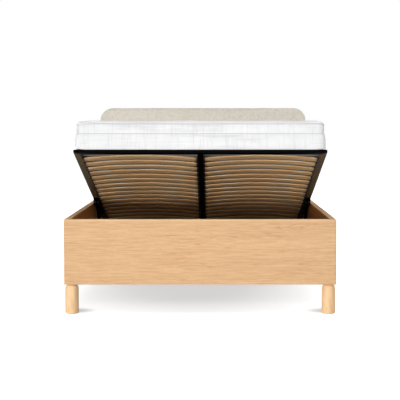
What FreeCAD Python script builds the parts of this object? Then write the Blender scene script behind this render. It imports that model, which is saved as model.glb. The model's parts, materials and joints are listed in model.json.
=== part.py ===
import FreeCAD, Part
import math
import os

from FreeCAD import Placement, Rotation, Vector

# Storage bed: an oak base on round legs, a gas-lift slatted platform with its mattress,
# and an upholstered headboard. Millimetres. The floor is z = 0, the foot of the bed is at -Y
# and the headboard at +Y. The origin lies on the floor, in the middle of the bed.
# The platform is drawn closed, then turned about its pivot to the open stop where it rests.

# Mattress
MATTRESS_WIDTH = 1508.0
MATTRESS_LENGTH = 1990.0
MATTRESS_CORNER = 30.0
MATTRESS_LOWER_BAND = 104.0
MATTRESS_UPPER_BAND = 61.0
MATTRESS_UPPER_INSET = 5.0
MATTRESS_SIDE_SWELL = 2.0
MATTRESS_SEAM_DEPTH = 8.0
MATTRESS_SEAM_ROUND = 10.0
MATTRESS_BASE_ROUND = 14.0
MATTRESS_TOP_ROUND = 26.0
MATTRESS_CROWN = 32.0
MATTRESS_CROWN_RUN = 300.0
MATTRESS_SEAT_CLEARANCE = 0.3

# Platform frame of steel box section
PLATFORM_SIDE_RIM = 5.0
PLATFORM_END_RIM = 5.0
TUBE_WIDTH = 40.0
TUBE_HEIGHT = 20.0
TUBE_WALL = 2.0
TUBE_EDGE_ROUND = 3.0
CENTRE_TUBE_WIDTH = 35.0
INSERT_CLEARANCE = 0.2
INSERT_LEG = 100.0
FRAME_BOLT_SETBACK = 29.0
FRAME_BOLT_EDGE = 13.0

# Bowed slats and the pockets that hold them
SLAT_WIDTH = 63.0
SLAT_THICKNESS = 8.0
SLAT_CROWN = 20.0
SLAT_PITCH = 109.0
FIRST_SLAT_SETBACK = 134.0
LAST_SLAT_SETBACK = 120.0
CAP_LENGTH = 26.0
CAP_LIP = 9.0
CAP_BACK_WALL = 2.5
CAP_WALL = 3.0
CAP_CLEARANCE = 0.3

# Oak base
PANEL_HEIGHT = 384.0
PANEL_THICKNESS = 36.0
PANEL_EDGE_ROUND = 2.5
HEAD_PANEL_THICKNESS = 22.0
PLATFORM_SIDE_GAP = 5.0
PLATFORM_FOOT_GAP = 10.0
PLATFORM_HEAD_GAP = 50.0
PLATFORM_SINK = 90.0

# Legs
LEG_DIAMETER = 80.0
LEG_LENGTH = 173.0
LEG_INSET = 41.0
LEG_SHOULDER_ROUND = 28.0
LEG_FOOT_ROUND = 3.0
GLIDE_DIAMETER = 62.0
GLIDE_THICKNESS = 3.0
LEG_BOLT_DIAMETER = 10.0
LEG_BOLT_REACH = 60.0

# Inner timber
BLOCK_SIZE = 60.0
BATTEN_WIDTH = 25.0
BATTEN_HEIGHT = 25.0
BEARER_WIDTH = 60.0
CENTRE_FOOT_DIAMETER = 44.0
CENTRE_FOOT_STEM_DIAMETER = 35.0
CENTRE_FOOT_FLARE = 34.0
CENTRE_FOOT_SETBACK = 309.0
CENTRE_FOOT_SPACING = 515.0
CENTRE_FOOT_COUNT = 2
FLOOR_BOARD_COUNT = 3
FLOOR_BOARD_THICKNESS = 9.0
FLOOR_BOARD_GAP = 1.0
LEDGE_WIDTH = 25.0
LEDGE_HEIGHT = 25.0
LEDGE_STRUT_CLEARANCE = 85.0
BUMPER_DIAMETER = 22.0
BUMPER_THICKNESS = 3.0
BUMPER_CLEARANCE = 0.3
BUMPER_END_SETBACK = 47.0
FOOT_BUMPER_INSET = 304.0
BUMPERS_PER_LEDGE = 3

# Corner brackets
BRACKET_LEG = 50.0
BRACKET_THICKNESS = 3.0
BRACKET_HEIGHT = 120.0
BRACKET_RISE = 18.0
BRACKET_LEDGE_GAP = 7.7
BRACKET_BOLT_EDGE = 25.0

# Lift hinge and gas struts
OPEN_ANGLE = 18.0
PIVOT_FROM_HEAD = 450.0
PIVOT_DROP = 25.0
PIVOT_PIN_DIAMETER = 12.0
PIVOT_HEAD_DIAMETER = 22.0
PIVOT_HEAD_THICKNESS = 6.0
RUNNING_CLEARANCE = 0.05
FACE_CLEARANCE = 0.3
HINGE_PLATE_THICKNESS = 4.0
HINGE_PLATE_ROUND = 26.0
HINGE_PLATE_HEEL = 70.0
ARM_THICKNESS = 4.0
ARM_FLANGE = 34.0
ARM_DEPTH = 22.0
ARM_LOBE_RADIUS = 22.0
ARM_END = 36.0
ARM_PLATE_GAP = 5.0
ARM_BOLT_COUNT = 3
STRUT_REACH = 410.0
STRUT_FOOT_SETBACK = 40.0
STRUT_FOOT_RISE = 70.0
STRUT_PLANE_INSET = 16.0
STUD_DIAMETER = 10.0
STUD_COLLAR_DIAMETER = 16.0
STUD_HEAD_THICKNESS = 4.0
EYE_DIAMETER = 24.0
EYE_WIDTH = 12.0
EYE_SIDE_CLEARANCE = 1.0
UPPER_EYE_CLEARANCE = 2.2
NECK_DIAMETER = 12.0
NECK_LENGTH = 30.0
ROD_DIAMETER = 10.0
ROD_SHOWING = 130.0
CYLINDER_DIAMETER = 22.0
CYLINDER_WALL = 1.6
GLAND_LENGTH = 12.0
PISTON_LENGTH = 14.0
SLIDE_CLEARANCE = 0.1

# Headboard
HEADBOARD_TOP = 1240.0
HEADBOARD_OVERHANG = 0.0
HEADBOARD_CORNER = 95.0
HEADBOARD_LOWER_CORNER = 22.0
HEADBOARD_FRAME_THICKNESS = 30.0
HEADBOARD_MEMBER = 120.0
HEADBOARD_STILE = 60.0
HEADBOARD_FOOT_RISE = 18.0
PADDING_FRONT = 33.0
PADDING_EDGE = 18.0
PADDING_CROWN = 8.0
PADDING_CROWN_RUN = 160.0
PADDING_ROUND_WIDTH = 50.0
PADDING_ROUND_DEPTH = 26.0
PADDING_BACK_ROUND = 9.0
PADDING_GAP = 5.0
PADDING_CLEARANCE = 0.3
BACK_BOARD_THICKNESS = 4.0
BACK_BOARD_INSET = 3.0

# Fasteners
BOLT_DIAMETER = 8.0
BOLT_HEAD_DIAMETER = 16.0
BOLT_HEAD_HEIGHT = 5.0
BOLT_CLEARANCE = 0.2
BOLT_RIM_SHARE = 0.35
BOLT_END_COVER = 2.0
SCREW_DIAMETER = 6.0
SCREW_HEAD_DIAMETER = 12.0
SCREW_HEAD_HEIGHT = 3.5
SCREW_LENGTH = 22.0

# Construction
CUT_OVERRUN = 1.0
ROUNDING_ANGLES = (0, 30, 60, 90)

# Places worked out from the sizes above
PLATFORM_WIDTH = MATTRESS_WIDTH + 2 * PLATFORM_SIDE_RIM
PLATFORM_LENGTH = MATTRESS_LENGTH + 2 * PLATFORM_END_RIM
INNER_X = PLATFORM_WIDTH / 2 + PLATFORM_SIDE_GAP
OUTER_X = INNER_X + PANEL_THICKNESS
INNER_LENGTH = PLATFORM_FOOT_GAP + PLATFORM_LENGTH + PLATFORM_HEAD_GAP
FRAME_AND_BACK = HEADBOARD_FRAME_THICKNESS + BACK_BOARD_THICKNESS
TOTAL_LENGTH = PANEL_THICKNESS + INNER_LENGTH + HEAD_PANEL_THICKNESS + FRAME_AND_BACK
FOOT_Y = -TOTAL_LENGTH / 2
INNER_FOOT_Y = FOOT_Y + PANEL_THICKNESS
INNER_HEAD_Y = INNER_FOOT_Y + INNER_LENGTH
BASE_HEAD_Y = INNER_HEAD_Y + HEAD_PANEL_THICKNESS
BASE_Z = GLIDE_THICKNESS + LEG_LENGTH
BASE_TOP = BASE_Z + PANEL_HEIGHT
PLATFORM_Z = BASE_TOP - PLATFORM_SINK
PLATFORM_TOP = PLATFORM_Z + TUBE_HEIGHT
PLATFORM_X = PLATFORM_WIDTH / 2
PLATFORM_FOOT_Y = INNER_FOOT_Y + PLATFORM_FOOT_GAP
PLATFORM_HEAD_Y = PLATFORM_FOOT_Y + PLATFORM_LENGTH
SIDE_TUBE_INNER_X = PLATFORM_X - TUBE_WIDTH
CENTRE_TUBE_X = CENTRE_TUBE_WIDTH / 2
PIVOT_Y = PLATFORM_HEAD_Y - PIVOT_FROM_HEAD
PIVOT_Z = PLATFORM_Z - PIVOT_DROP
FLOOR_Z = BASE_Z + BATTEN_HEIGHT
FLOOR_TOP = FLOOR_Z + FLOOR_BOARD_THICKNESS
LEG_X = OUTER_X - LEG_INSET
FOOT_LEG_Y = FOOT_Y + LEG_INSET
HEAD_LEG_Y = BASE_HEAD_Y - LEG_INSET
HINGE_PLATE_X = INNER_X - HINGE_PLATE_THICKNESS
ARM_OUTER_X = HINGE_PLATE_X - ARM_PLATE_GAP
ARM_INNER_X = ARM_OUTER_X - ARM_THICKNESS
STRUT_X = ARM_INNER_X - STRUT_PLANE_INSET
LEDGE_TOP = PLATFORM_Z - BUMPER_CLEARANCE - BUMPER_THICKNESS
BRACKET_TOP = LEDGE_TOP - LEDGE_HEIGHT - BRACKET_LEDGE_GAP
BRACKET_Z = BRACKET_TOP - BRACKET_HEIGHT
BLOCK_TOP = BRACKET_Z - BRACKET_RISE
HEADBOARD_X = OUTER_X + HEADBOARD_OVERHANG
HEADBOARD_FOOT_Z = BASE_Z + HEADBOARD_FOOT_RISE
PADDING_Z = BASE_TOP + PADDING_GAP
PADDING_FRONT_Y = BASE_HEAD_Y - PADDING_FRONT
FRAME_X = HEADBOARD_X - PADDING_EDGE
FRAME_TOP = HEADBOARD_TOP - PADDING_EDGE
FRAME_BACK_Y = BASE_HEAD_Y + HEADBOARD_FRAME_THICKNESS

# The bow of a slat: a circle through both tube faces and the crown between them
BAY_HALF = (SIDE_TUBE_INNER_X - CENTRE_TUBE_X) / 2
BAY_X = CENTRE_TUBE_X + BAY_HALF
SLAT_RADIUS = (BAY_HALF ** 2 + SLAT_CROWN ** 2) / (2 * SLAT_CROWN)
SLAT_ARC_Z = PLATFORM_Z + SLAT_CROWN - SLAT_RADIUS
SLAT_RUN = PLATFORM_LENGTH - FIRST_SLAT_SETBACK - LAST_SLAT_SETBACK - SLAT_WIDTH
SLAT_COUNT = int(SLAT_RUN / SLAT_PITCH) + 1
SLAT_FEET = [PLATFORM_FOOT_Y + FIRST_SLAT_SETBACK + i * SLAT_PITCH for i in range(SLAT_COUNT)]

# Ends of a gas strut when the platform stands open
STRUT_FOOT = Vector(STRUT_X, PIVOT_Y - STRUT_FOOT_SETBACK, FLOOR_TOP + STRUT_FOOT_RISE)
STRUT_HEAD_CLOSED = Vector(STRUT_X, PIVOT_Y - STRUT_REACH, PIVOT_Z)
SIDE_LEDGE_LENGTH = STRUT_HEAD_CLOSED.y - LEDGE_STRUT_CLEARANCE - INNER_FOOT_Y - LEDGE_WIDTH
OPENING = Rotation(Vector(1, 0, 0), -OPEN_ANGLE)
PIVOT = Vector(STRUT_X, PIVOT_Y, PIVOT_Z)
STRUT_HEAD = PIVOT + OPENING.multVec(STRUT_HEAD_CLOSED - PIVOT)
STRUT_LENGTH = (STRUT_HEAD - STRUT_FOOT).Length
STRUT_DIRECTION = (STRUT_HEAD - STRUT_FOOT).normalize()

X_AXIS = Vector(1, 0, 0)
Y_AXIS = Vector(0, 1, 0)
Z_AXIS = Vector(0, 0, 1)


# Shared shapes

def block(x0, x1, y0, y1, z0, z1):
    return Part.makeBox(x1 - x0, y1 - y0, z1 - z0, Vector(x0, y0, z0))


def rod(diameter, start, end):
    return Part.makeCylinder(diameter / 2, (end - start).Length, start, end - start)


def turned(outline, start, direction):
    """Solid of revolution from (radius, distance) points, along a direction from a start point."""
    points = [Vector(radius, 0, distance) for radius, distance in outline]
    face = Part.Face(Part.makePolygon(points + points[:1]))
    solid = face.revolve(Vector(0, 0, 0), Z_AXIS, 360)
    solid.Placement = Placement(start, Rotation(Z_AXIS, direction))
    return solid


def domed_bolt(seat, direction, diameter, head_diameter, head_height, length):
    """Domed head on its seat, with a plain shank that runs along the direction."""
    rim = head_height * BOLT_RIM_SHARE
    cap = head_height - rim
    sphere = ((head_diameter / 2) ** 2 + cap ** 2) / (2 * cap)
    half_turn = math.asin(head_diameter / 2 / sphere) / 2
    crest = Vector(sphere * math.sin(half_turn), 0, sphere * (1 - math.cos(half_turn)) - head_height)
    dome = Part.Arc(Vector(head_diameter / 2, 0, -rim), crest, Vector(0, 0, -head_height)).toShape()
    lines = [Vector(0, 0, -head_height), Vector(0, 0, length), Vector(diameter / 2, 0, length),
             Vector(diameter / 2, 0, 0), Vector(head_diameter / 2, 0, 0), Vector(head_diameter / 2, 0, -rim)]
    edges = [Part.makeLine(a, b) for a, b in zip(lines, lines[1:])]
    face = Part.Face(Part.Wire(Part.__sortEdges__(edges + [dome])))
    solid = face.revolve(Vector(0, 0, 0), Z_AXIS, 360)
    solid.Placement = Placement(seat, Rotation(Z_AXIS, direction))
    return solid


def bolt(seat, direction, length):
    return domed_bolt(seat, direction, BOLT_DIAMETER, BOLT_HEAD_DIAMETER, BOLT_HEAD_HEIGHT, length)


def screw(seat, direction, length=SCREW_LENGTH):
    return domed_bolt(seat, direction, SCREW_DIAMETER, SCREW_HEAD_DIAMETER, SCREW_HEAD_HEIGHT, length)


def bore(seat, direction, diameter, depth):
    """Cutter for a fastener hole that starts a little before its seat."""
    start = seat - direction * CUT_OVERRUN
    return rod(diameter + 2 * BOLT_CLEARANCE, start, seat + direction * depth)


def around(degrees):
    """Cosine and sine of an angle in degrees."""
    turn = math.radians(degrees)
    return math.cos(turn), math.sin(turn)


def closed_outline(corner_arcs):
    """Closed wire from its corner arcs, each given by three points, joined by straight lines."""
    edges = [Part.Arc(*points).toShape() for points in corner_arcs]
    for points, following in zip(corner_arcs, corner_arcs[1:] + corner_arcs[:1]):
        edges.append(Part.makeLine(points[2], following[0]))
    return Part.Wire(Part.__sortEdges__(edges))


def rounded_rectangle(x, y0, y1, z, radius):
    """Closed wire, level at height z, symmetric about x = 0."""
    corners = [(x - radius, y1 - radius, 0), (radius - x, y1 - radius, 90), (radius - x, y0 + radius, 180),
               (x - radius, y0 + radius, 270)]
    arcs = []
    for centre_x, centre_y, turn in corners:
        spokes = [around(turn + swing) for swing in (0, 45, 90)]
        arcs.append([Vector(centre_x + radius * right, centre_y + radius * far, z) for right, far in spokes])
    return closed_outline(arcs)


def headboard_outline(y, inset):
    """Upright outline of the padded headboard at depth y, drawn in by an inset all round."""
    x = HEADBOARD_X - inset
    top = HEADBOARD_TOP - inset
    foot = PADDING_Z + inset
    upper = HEADBOARD_CORNER - min(inset, HEADBOARD_CORNER / 2)
    lower = HEADBOARD_LOWER_CORNER
    corners = [(x - upper, top - upper, upper, 0), (upper - x, top - upper, upper, 90),
               (lower - x, foot + lower, lower, 180), (x - lower, foot + lower, lower, 270)]
    arcs = []
    for centre_x, centre_z, radius, turn in corners:
        spokes = [around(turn + swing) for swing in (0, 45, 90)]
        arcs.append([Vector(centre_x + radius * right, y, centre_z + radius * up) for right, up in spokes])
    return closed_outline(arcs)


def round_long_edges(solid, radius, axis):
    """Round the edges that run along one axis."""
    chosen = [edge for edge in solid.Edges if abs(edge.tangentAt(edge.FirstParameter).dot(axis)) > 0.999]
    return solid.makeFillet(radius, chosen)


def mirrored(solid):
    return solid.mirror(Vector(0, 0, 0), X_AXIS)


def both_sides(solids):
    return solids + [mirrored(solid) for solid in solids]


def opened(solid):
    """Turn a piece of the closed platform to the open stop."""
    turned_piece = solid.copy()
    turned_piece.rotate(Vector(0, PIVOT_Y, PIVOT_Z), X_AXIS, -OPEN_ANGLE)
    return turned_piece


def spread(first, last, count):
    """Evenly spaced places, the ends included."""
    return [first + (last - first) * i / (count - 1) for i in range(count)]


# Oak base

def plan_prism(points):
    """Upright prism over a plan outline, taller than the base."""
    corners = [Vector(x, y, BASE_Z - CUT_OVERRUN) for x, y in points]
    plan = Part.Face(Part.makePolygon(corners + corners[:1]))
    return plan.extrude(Z_AXIS * (PANEL_HEIGHT + 2 * CUT_OVERRUN))


def foot_panel():
    board = block(-OUTER_X, OUTER_X, FOOT_Y, INNER_FOOT_Y, BASE_Z, BASE_TOP)
    board = round_long_edges(board, PANEL_EDGE_ROUND, X_AXIS)
    mitre = plan_prism([(-OUTER_X, FOOT_Y), (OUTER_X, FOOT_Y),
                        (INNER_X, INNER_FOOT_Y), (-INNER_X, INNER_FOOT_Y)])
    panel = board.common(mitre)
    for seat in foot_bracket_screw_seats():
        panel = panel.cut(bore(seat[0], seat[1], SCREW_DIAMETER, SCREW_LENGTH))
    return panel


def right_side_panel():
    board = block(INNER_X, OUTER_X, FOOT_Y, BASE_HEAD_Y, BASE_Z, BASE_TOP)
    board = round_long_edges(board, PANEL_EDGE_ROUND, Y_AXIS)
    mitre = plan_prism([(OUTER_X, FOOT_Y), (OUTER_X, BASE_HEAD_Y),
                        (INNER_X, BASE_HEAD_Y), (INNER_X, INNER_FOOT_Y)])
    panel = board.common(mitre)
    for seat, direction in side_bracket_screw_seats():
        panel = panel.cut(bore(seat, direction, SCREW_DIAMETER, SCREW_LENGTH))
    for seat, direction in hinge_screw_seats():
        panel = panel.cut(bore(seat, direction, SCREW_DIAMETER, SCREW_LENGTH))
    return panel


def head_panel():
    board = block(-INNER_X, INNER_X, INNER_HEAD_Y, BASE_HEAD_Y, BASE_Z, BASE_TOP)
    panel = round_long_edges(board, PANEL_EDGE_ROUND, X_AXIS)
    for seat in head_bracket_screw_seats():
        panel = panel.cut(bore(seat[0], seat[1], SCREW_DIAMETER, SCREW_LENGTH))
    for seat in headboard_bolt_seats():
        panel = panel.cut(bore(seat, Y_AXIS, BOLT_DIAMETER, HEAD_PANEL_THICKNESS + CUT_OVERRUN))
    return panel


def leg_places():
    return [(x, y) for y in (FOOT_LEG_Y, HEAD_LEG_Y) for x in (-LEG_X, LEG_X)]


def leg(x, y):
    body = Part.makeCylinder(LEG_DIAMETER / 2, LEG_LENGTH, Vector(x, y, GLIDE_THICKNESS))
    shoulder = [edge for edge in body.Edges if edge.BoundBox.ZMin > BASE_Z - LEG_FOOT_ROUND]
    body = body.makeFillet(LEG_SHOULDER_ROUND, shoulder)
    foot = [edge for edge in body.Edges if edge.BoundBox.ZMax < GLIDE_THICKNESS + LEG_FOOT_ROUND]
    body = body.makeFillet(LEG_FOOT_ROUND, foot)
    return body.cut(bore(Vector(x, y, BASE_Z), -Z_AXIS, LEG_BOLT_DIAMETER, LEG_BOLT_REACH))


def leg_bolts():
    reach = LEG_BOLT_REACH - BOLT_CLEARANCE
    return [rod(LEG_BOLT_DIAMETER, Vector(x, y, BASE_Z - reach), Vector(x, y, BASE_Z + reach))
            for x, y in leg_places()]


def foot_glides():
    return [Part.makeCylinder(GLIDE_DIAMETER / 2, GLIDE_THICKNESS, Vector(x, y, 0)) for x, y in leg_places()]


def corner_blocks():
    foot_block = block(INNER_X - BLOCK_SIZE, INNER_X, INNER_FOOT_Y, INNER_FOOT_Y + BLOCK_SIZE,
                       BASE_Z, BLOCK_TOP)
    head_block = block(INNER_X - BLOCK_SIZE, INNER_X, INNER_HEAD_Y - BLOCK_SIZE, INNER_HEAD_Y,
                       BASE_Z, BLOCK_TOP)
    holes = [bore(Vector(LEG_X, y, BASE_Z), Z_AXIS, LEG_BOLT_DIAMETER, LEG_BOLT_REACH)
             for y in (FOOT_LEG_Y, HEAD_LEG_Y)]
    return both_sides([foot_block.cut(holes[0]), head_block.cut(holes[1])])


def bracket_screw_heights():
    return BRACKET_Z + BRACKET_BOLT_EDGE, BRACKET_TOP - BRACKET_BOLT_EDGE


def side_bracket_screw_seats():
    x = INNER_X - BRACKET_THICKNESS
    reach = BRACKET_LEG - BRACKET_BOLT_EDGE
    return [(Vector(x, y, z), X_AXIS) for z in bracket_screw_heights()
            for y in (INNER_FOOT_Y + reach, INNER_HEAD_Y - reach)]


def foot_bracket_screw_seats():
    x = INNER_X - BRACKET_LEG + BRACKET_BOLT_EDGE
    return [(Vector(side * x, INNER_FOOT_Y + BRACKET_THICKNESS, z), -Y_AXIS)
            for z in bracket_screw_heights() for side in (-1, 1)]


def head_bracket_screw_seats():
    x = INNER_X - BRACKET_LEG + BRACKET_BOLT_EDGE
    return [(Vector(side * x, INNER_HEAD_Y - BRACKET_THICKNESS, z), Y_AXIS)
            for z in bracket_screw_heights() for side in (-1, 1)]


def head_screw_length():
    return min(SCREW_LENGTH, HEAD_PANEL_THICKNESS + BRACKET_THICKNESS - BOLT_END_COVER)


def corner_brackets():
    brackets = []
    for y, inward in ((INNER_FOOT_Y, 1), (INNER_HEAD_Y, -1)):
        ends = sorted((y, y + inward * BRACKET_LEG))
        thin = sorted((y, y + inward * BRACKET_THICKNESS))
        side_leg = block(INNER_X - BRACKET_THICKNESS, INNER_X, ends[0], ends[1], BRACKET_Z, BRACKET_TOP)
        end_leg = block(INNER_X - BRACKET_LEG, INNER_X, thin[0], thin[1], BRACKET_Z, BRACKET_TOP)
        bracket = side_leg.fuse(end_leg).removeSplitter()
        seats = side_bracket_screw_seats() + foot_bracket_screw_seats() + head_bracket_screw_seats()
        for seat, direction in seats:
            bracket = bracket.cut(bore(seat, direction, SCREW_DIAMETER, BRACKET_THICKNESS + CUT_OVERRUN))
        brackets.append(bracket)
    return both_sides(brackets)


def bracket_screws():
    sides = both_sides([screw(seat, direction) for seat, direction in side_bracket_screw_seats()])
    feet = [screw(seat, direction) for seat, direction in foot_bracket_screw_seats()]
    heads = [screw(seat, direction, head_screw_length()) for seat, direction in head_bracket_screw_seats()]
    return sides + feet + heads


# Storage floor

def right_floor_batten():
    return block(INNER_X - BATTEN_WIDTH, INNER_X, INNER_FOOT_Y + BLOCK_SIZE, INNER_HEAD_Y - BLOCK_SIZE,
                 BASE_Z, FLOOR_Z)


def end_floor_batten(y0, y1):
    return block(BLOCK_SIZE - INNER_X, INNER_X - BLOCK_SIZE, y0, y1, BASE_Z, FLOOR_Z)


def centre_bearer():
    half = BEARER_WIDTH / 2
    return block(-half, half, INNER_FOOT_Y + BATTEN_WIDTH, INNER_HEAD_Y - BATTEN_WIDTH, BASE_Z, FLOOR_Z)


def centre_feet():
    """Turned feet with a flared top, under the head half of the bearer."""
    stem = CENTRE_FOOT_STEM_DIAMETER / 2
    flare = CENTRE_FOOT_DIAMETER / 2
    outline = [(0, 0), (stem, 0), (stem, BASE_Z - CENTRE_FOOT_FLARE), (flare, BASE_Z), (0, BASE_Z)]
    first = INNER_HEAD_Y - CENTRE_FOOT_SETBACK
    places = [Vector(0, first - i * CENTRE_FOOT_SPACING, 0) for i in range(CENTRE_FOOT_COUNT)]
    return [turned(outline, place, Z_AXIS) for place in places]


def floor_board(index):
    """One loose board, notched round the corner blocks."""
    length = (INNER_LENGTH - FLOOR_BOARD_GAP * (FLOOR_BOARD_COUNT + 1)) / FLOOR_BOARD_COUNT
    y0 = INNER_FOOT_Y + FLOOR_BOARD_GAP + index * (length + FLOOR_BOARD_GAP)
    x = INNER_X - FLOOR_BOARD_GAP
    board = block(-x, x, y0, y0 + length, FLOOR_Z, FLOOR_TOP)
    notch = BLOCK_SIZE + FLOOR_BOARD_GAP
    for y_low, y_high in ((INNER_FOOT_Y, INNER_FOOT_Y + notch), (INNER_HEAD_Y - notch, INNER_HEAD_Y)):
        for x_low, x_high in ((-INNER_X, notch - INNER_X), (INNER_X - notch, INNER_X)):
            cutter = block(x_low, x_high, y_low, y_high, FLOOR_Z - CUT_OVERRUN, FLOOR_TOP + CUT_OVERRUN)
            board = board.cut(cutter)
    return board


# Rests for the closed platform

def right_rest_ledge():
    return block(INNER_X - LEDGE_WIDTH, INNER_X, INNER_FOOT_Y + LEDGE_WIDTH,
                 INNER_FOOT_Y + LEDGE_WIDTH + SIDE_LEDGE_LENGTH, LEDGE_TOP - LEDGE_HEIGHT, LEDGE_TOP)


def foot_rest_ledge():
    return block(-INNER_X, INNER_X, INNER_FOOT_Y, INNER_FOOT_Y + LEDGE_WIDTH,
                 LEDGE_TOP - LEDGE_HEIGHT, LEDGE_TOP)


def rest_bumpers():
    x = INNER_X - LEDGE_WIDTH / 2
    first = INNER_FOOT_Y + LEDGE_WIDTH + BUMPER_END_SETBACK
    last = INNER_FOOT_Y + LEDGE_WIDTH + SIDE_LEDGE_LENGTH - BUMPER_END_SETBACK
    side_places = [(x, y) for y in spread(first, last, BUMPERS_PER_LEDGE)]
    reach = PLATFORM_X - FOOT_BUMPER_INSET
    foot_y = INNER_FOOT_Y + LEDGE_WIDTH / 2
    foot_places = [(place, foot_y) for place in spread(-reach, reach, BUMPERS_PER_LEDGE)]
    places = side_places + [(-x, y) for x, y in side_places] + foot_places
    radius = BUMPER_DIAMETER / 2
    return [Part.makeCylinder(radius, BUMPER_THICKNESS, Vector(x, y, LEDGE_TOP)) for x, y in places]


# Lift hinge

def hinge_corners():
    """Pivot, strut stud and heel of the hinge plate, as (y, z)."""
    foot = (STRUT_FOOT.y, STRUT_FOOT.z)
    heel = (PIVOT_Y + HINGE_PLATE_HEEL, STRUT_FOOT.z)
    return [(PIVOT_Y, PIVOT_Z), foot, heel]


def hinge_screw_seats():
    """Three screws in the right-hand plate: at its heel and halfway along the two edges that meet there."""
    pivot, foot, heel = hinge_corners()
    places = [heel, ((foot[0] + heel[0]) / 2, foot[1]), ((pivot[0] + heel[0]) / 2, (pivot[1] + heel[1]) / 2)]
    return [(Vector(HINGE_PLATE_X, y, z), X_AXIS) for y, z in places]


def right_hinge_plate():
    corners = [Vector(HINGE_PLATE_X, y, z) for y, z in hinge_corners()]
    outline = Part.Face(Part.makePolygon(corners + corners[:1])).makeOffset2D(HINGE_PLATE_ROUND)
    plate = outline.extrude(X_AXIS * HINGE_PLATE_THICKNESS)
    holes = [bore(seat, direction, SCREW_DIAMETER, HINGE_PLATE_THICKNESS + CUT_OVERRUN)
             for seat, direction in hinge_screw_seats()]
    for y, z in hinge_corners()[:2]:
        seat = Vector(HINGE_PLATE_X, y, z)
        holes.append(bore(seat, X_AXIS, STUD_DIAMETER, HINGE_PLATE_THICKNESS + CUT_OVERRUN))
    for hole in holes:
        plate = plate.cut(hole)
    return plate


def hinge_plate_screws():
    return both_sides([screw(seat, direction) for seat, direction in hinge_screw_seats()])


def pivot_pins():
    """Shouldered pin: head inside the lift arm, journal, collar against the plate and tail in the plate."""
    journal = PIVOT_PIN_DIAMETER / 2
    head = PIVOT_HEAD_DIAMETER / 2
    tail = STUD_DIAMETER / 2
    head_end = ARM_INNER_X - FACE_CLEARANCE
    collar = ARM_OUTER_X + FACE_CLEARANCE
    start = head_end - PIVOT_HEAD_THICKNESS
    stations = [(0, start), (head, start), (head, head_end), (journal, head_end), (journal, collar),
                (head, collar), (head, HINGE_PLATE_X), (tail, HINGE_PLATE_X), (tail, INNER_X), (0, INNER_X)]
    outline = [(radius, x - start) for radius, x in stations]
    return both_sides([turned(outline, Vector(start, PIVOT_Y, PIVOT_Z), X_AXIS)])


def strut_stud(y, z, seat_x, tail_x):
    """Stud with a collar at its seat, a journal for the strut eye and a retaining head."""
    journal = STUD_DIAMETER / 2
    collar = STUD_COLLAR_DIAMETER / 2
    reach = EYE_WIDTH / 2 + EYE_SIDE_CLEARANCE
    start = STRUT_X - reach - STUD_HEAD_THICKNESS
    stations = [(0, start), (collar, start), (collar, STRUT_X - reach), (journal, STRUT_X - reach),
                (journal, STRUT_X + reach), (collar, STRUT_X + reach), (collar, seat_x), (journal, seat_x),
                (journal, tail_x), (0, tail_x)]
    outline = [(radius, x - start) for radius, x in stations]
    return turned(outline, Vector(start, y, z), X_AXIS)


def lower_strut_studs():
    return both_sides([strut_stud(STRUT_FOOT.y, STRUT_FOOT.z, HINGE_PLATE_X, INNER_X)])


def upper_strut_studs():
    stud = strut_stud(STRUT_HEAD_CLOSED.y, STRUT_HEAD_CLOSED.z, ARM_INNER_X, ARM_OUTER_X)
    return [opened(solid) for solid in both_sides([stud])]


# Platform frame

def box_section(length, width, height):
    """Rounded box section along +Y from the origin, centred in X and standing on z = 0."""
    outer = round_long_edges(block(-width / 2, width / 2, 0, length, 0, height), TUBE_EDGE_ROUND, Y_AXIS)
    inner = block(TUBE_WALL - width / 2, width / 2 - TUBE_WALL, -CUT_OVERRUN, length + CUT_OVERRUN,
                  TUBE_WALL, height - TUBE_WALL)
    return outer.cut(inner)


def mitre_prism(points):
    corners = [Vector(x, y, PLATFORM_Z - CUT_OVERRUN) for x, y in points]
    plan = Part.Face(Part.makePolygon(corners + corners[:1]))
    return plan.extrude(Z_AXIS * (TUBE_HEIGHT + 2 * CUT_OVERRUN))


def frame_bolt_seats(y_edge, inward):
    """Domed bolts on top of one right-hand corner: one in the end tube and one in the side tube."""
    return [Vector(PLATFORM_X - FRAME_BOLT_SETBACK, y_edge + inward * FRAME_BOLT_EDGE, PLATFORM_TOP),
            Vector(PLATFORM_X - FRAME_BOLT_EDGE, y_edge + inward * FRAME_BOLT_SETBACK, PLATFORM_TOP)]


def all_frame_bolt_seats():
    seats = frame_bolt_seats(PLATFORM_FOOT_Y, 1) + frame_bolt_seats(PLATFORM_HEAD_Y, -1)
    return seats + [Vector(-seat.x, seat.y, seat.z) for seat in seats]


def drilled_for_bolts(solid):
    for seat in all_frame_bolt_seats():
        solid = solid.cut(bore(seat, -Z_AXIS, BOLT_DIAMETER, TUBE_HEIGHT - TUBE_WALL))
    return solid


def end_tube(y_edge, inward):
    tube = box_section(PLATFORM_WIDTH, TUBE_WIDTH, TUBE_HEIGHT)
    tube.rotate(Vector(0, 0, 0), Z_AXIS, -90)
    tube.translate(Vector(-PLATFORM_X, y_edge + inward * TUBE_WIDTH / 2, PLATFORM_Z))
    inner_y = y_edge + inward * TUBE_WIDTH
    mitre = mitre_prism([(-PLATFORM_X, y_edge), (PLATFORM_X, y_edge), (SIDE_TUBE_INNER_X, inner_y),
                         (-SIDE_TUBE_INNER_X, inner_y)])
    return opened(drilled_for_bolts(tube.common(mitre)))


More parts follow.
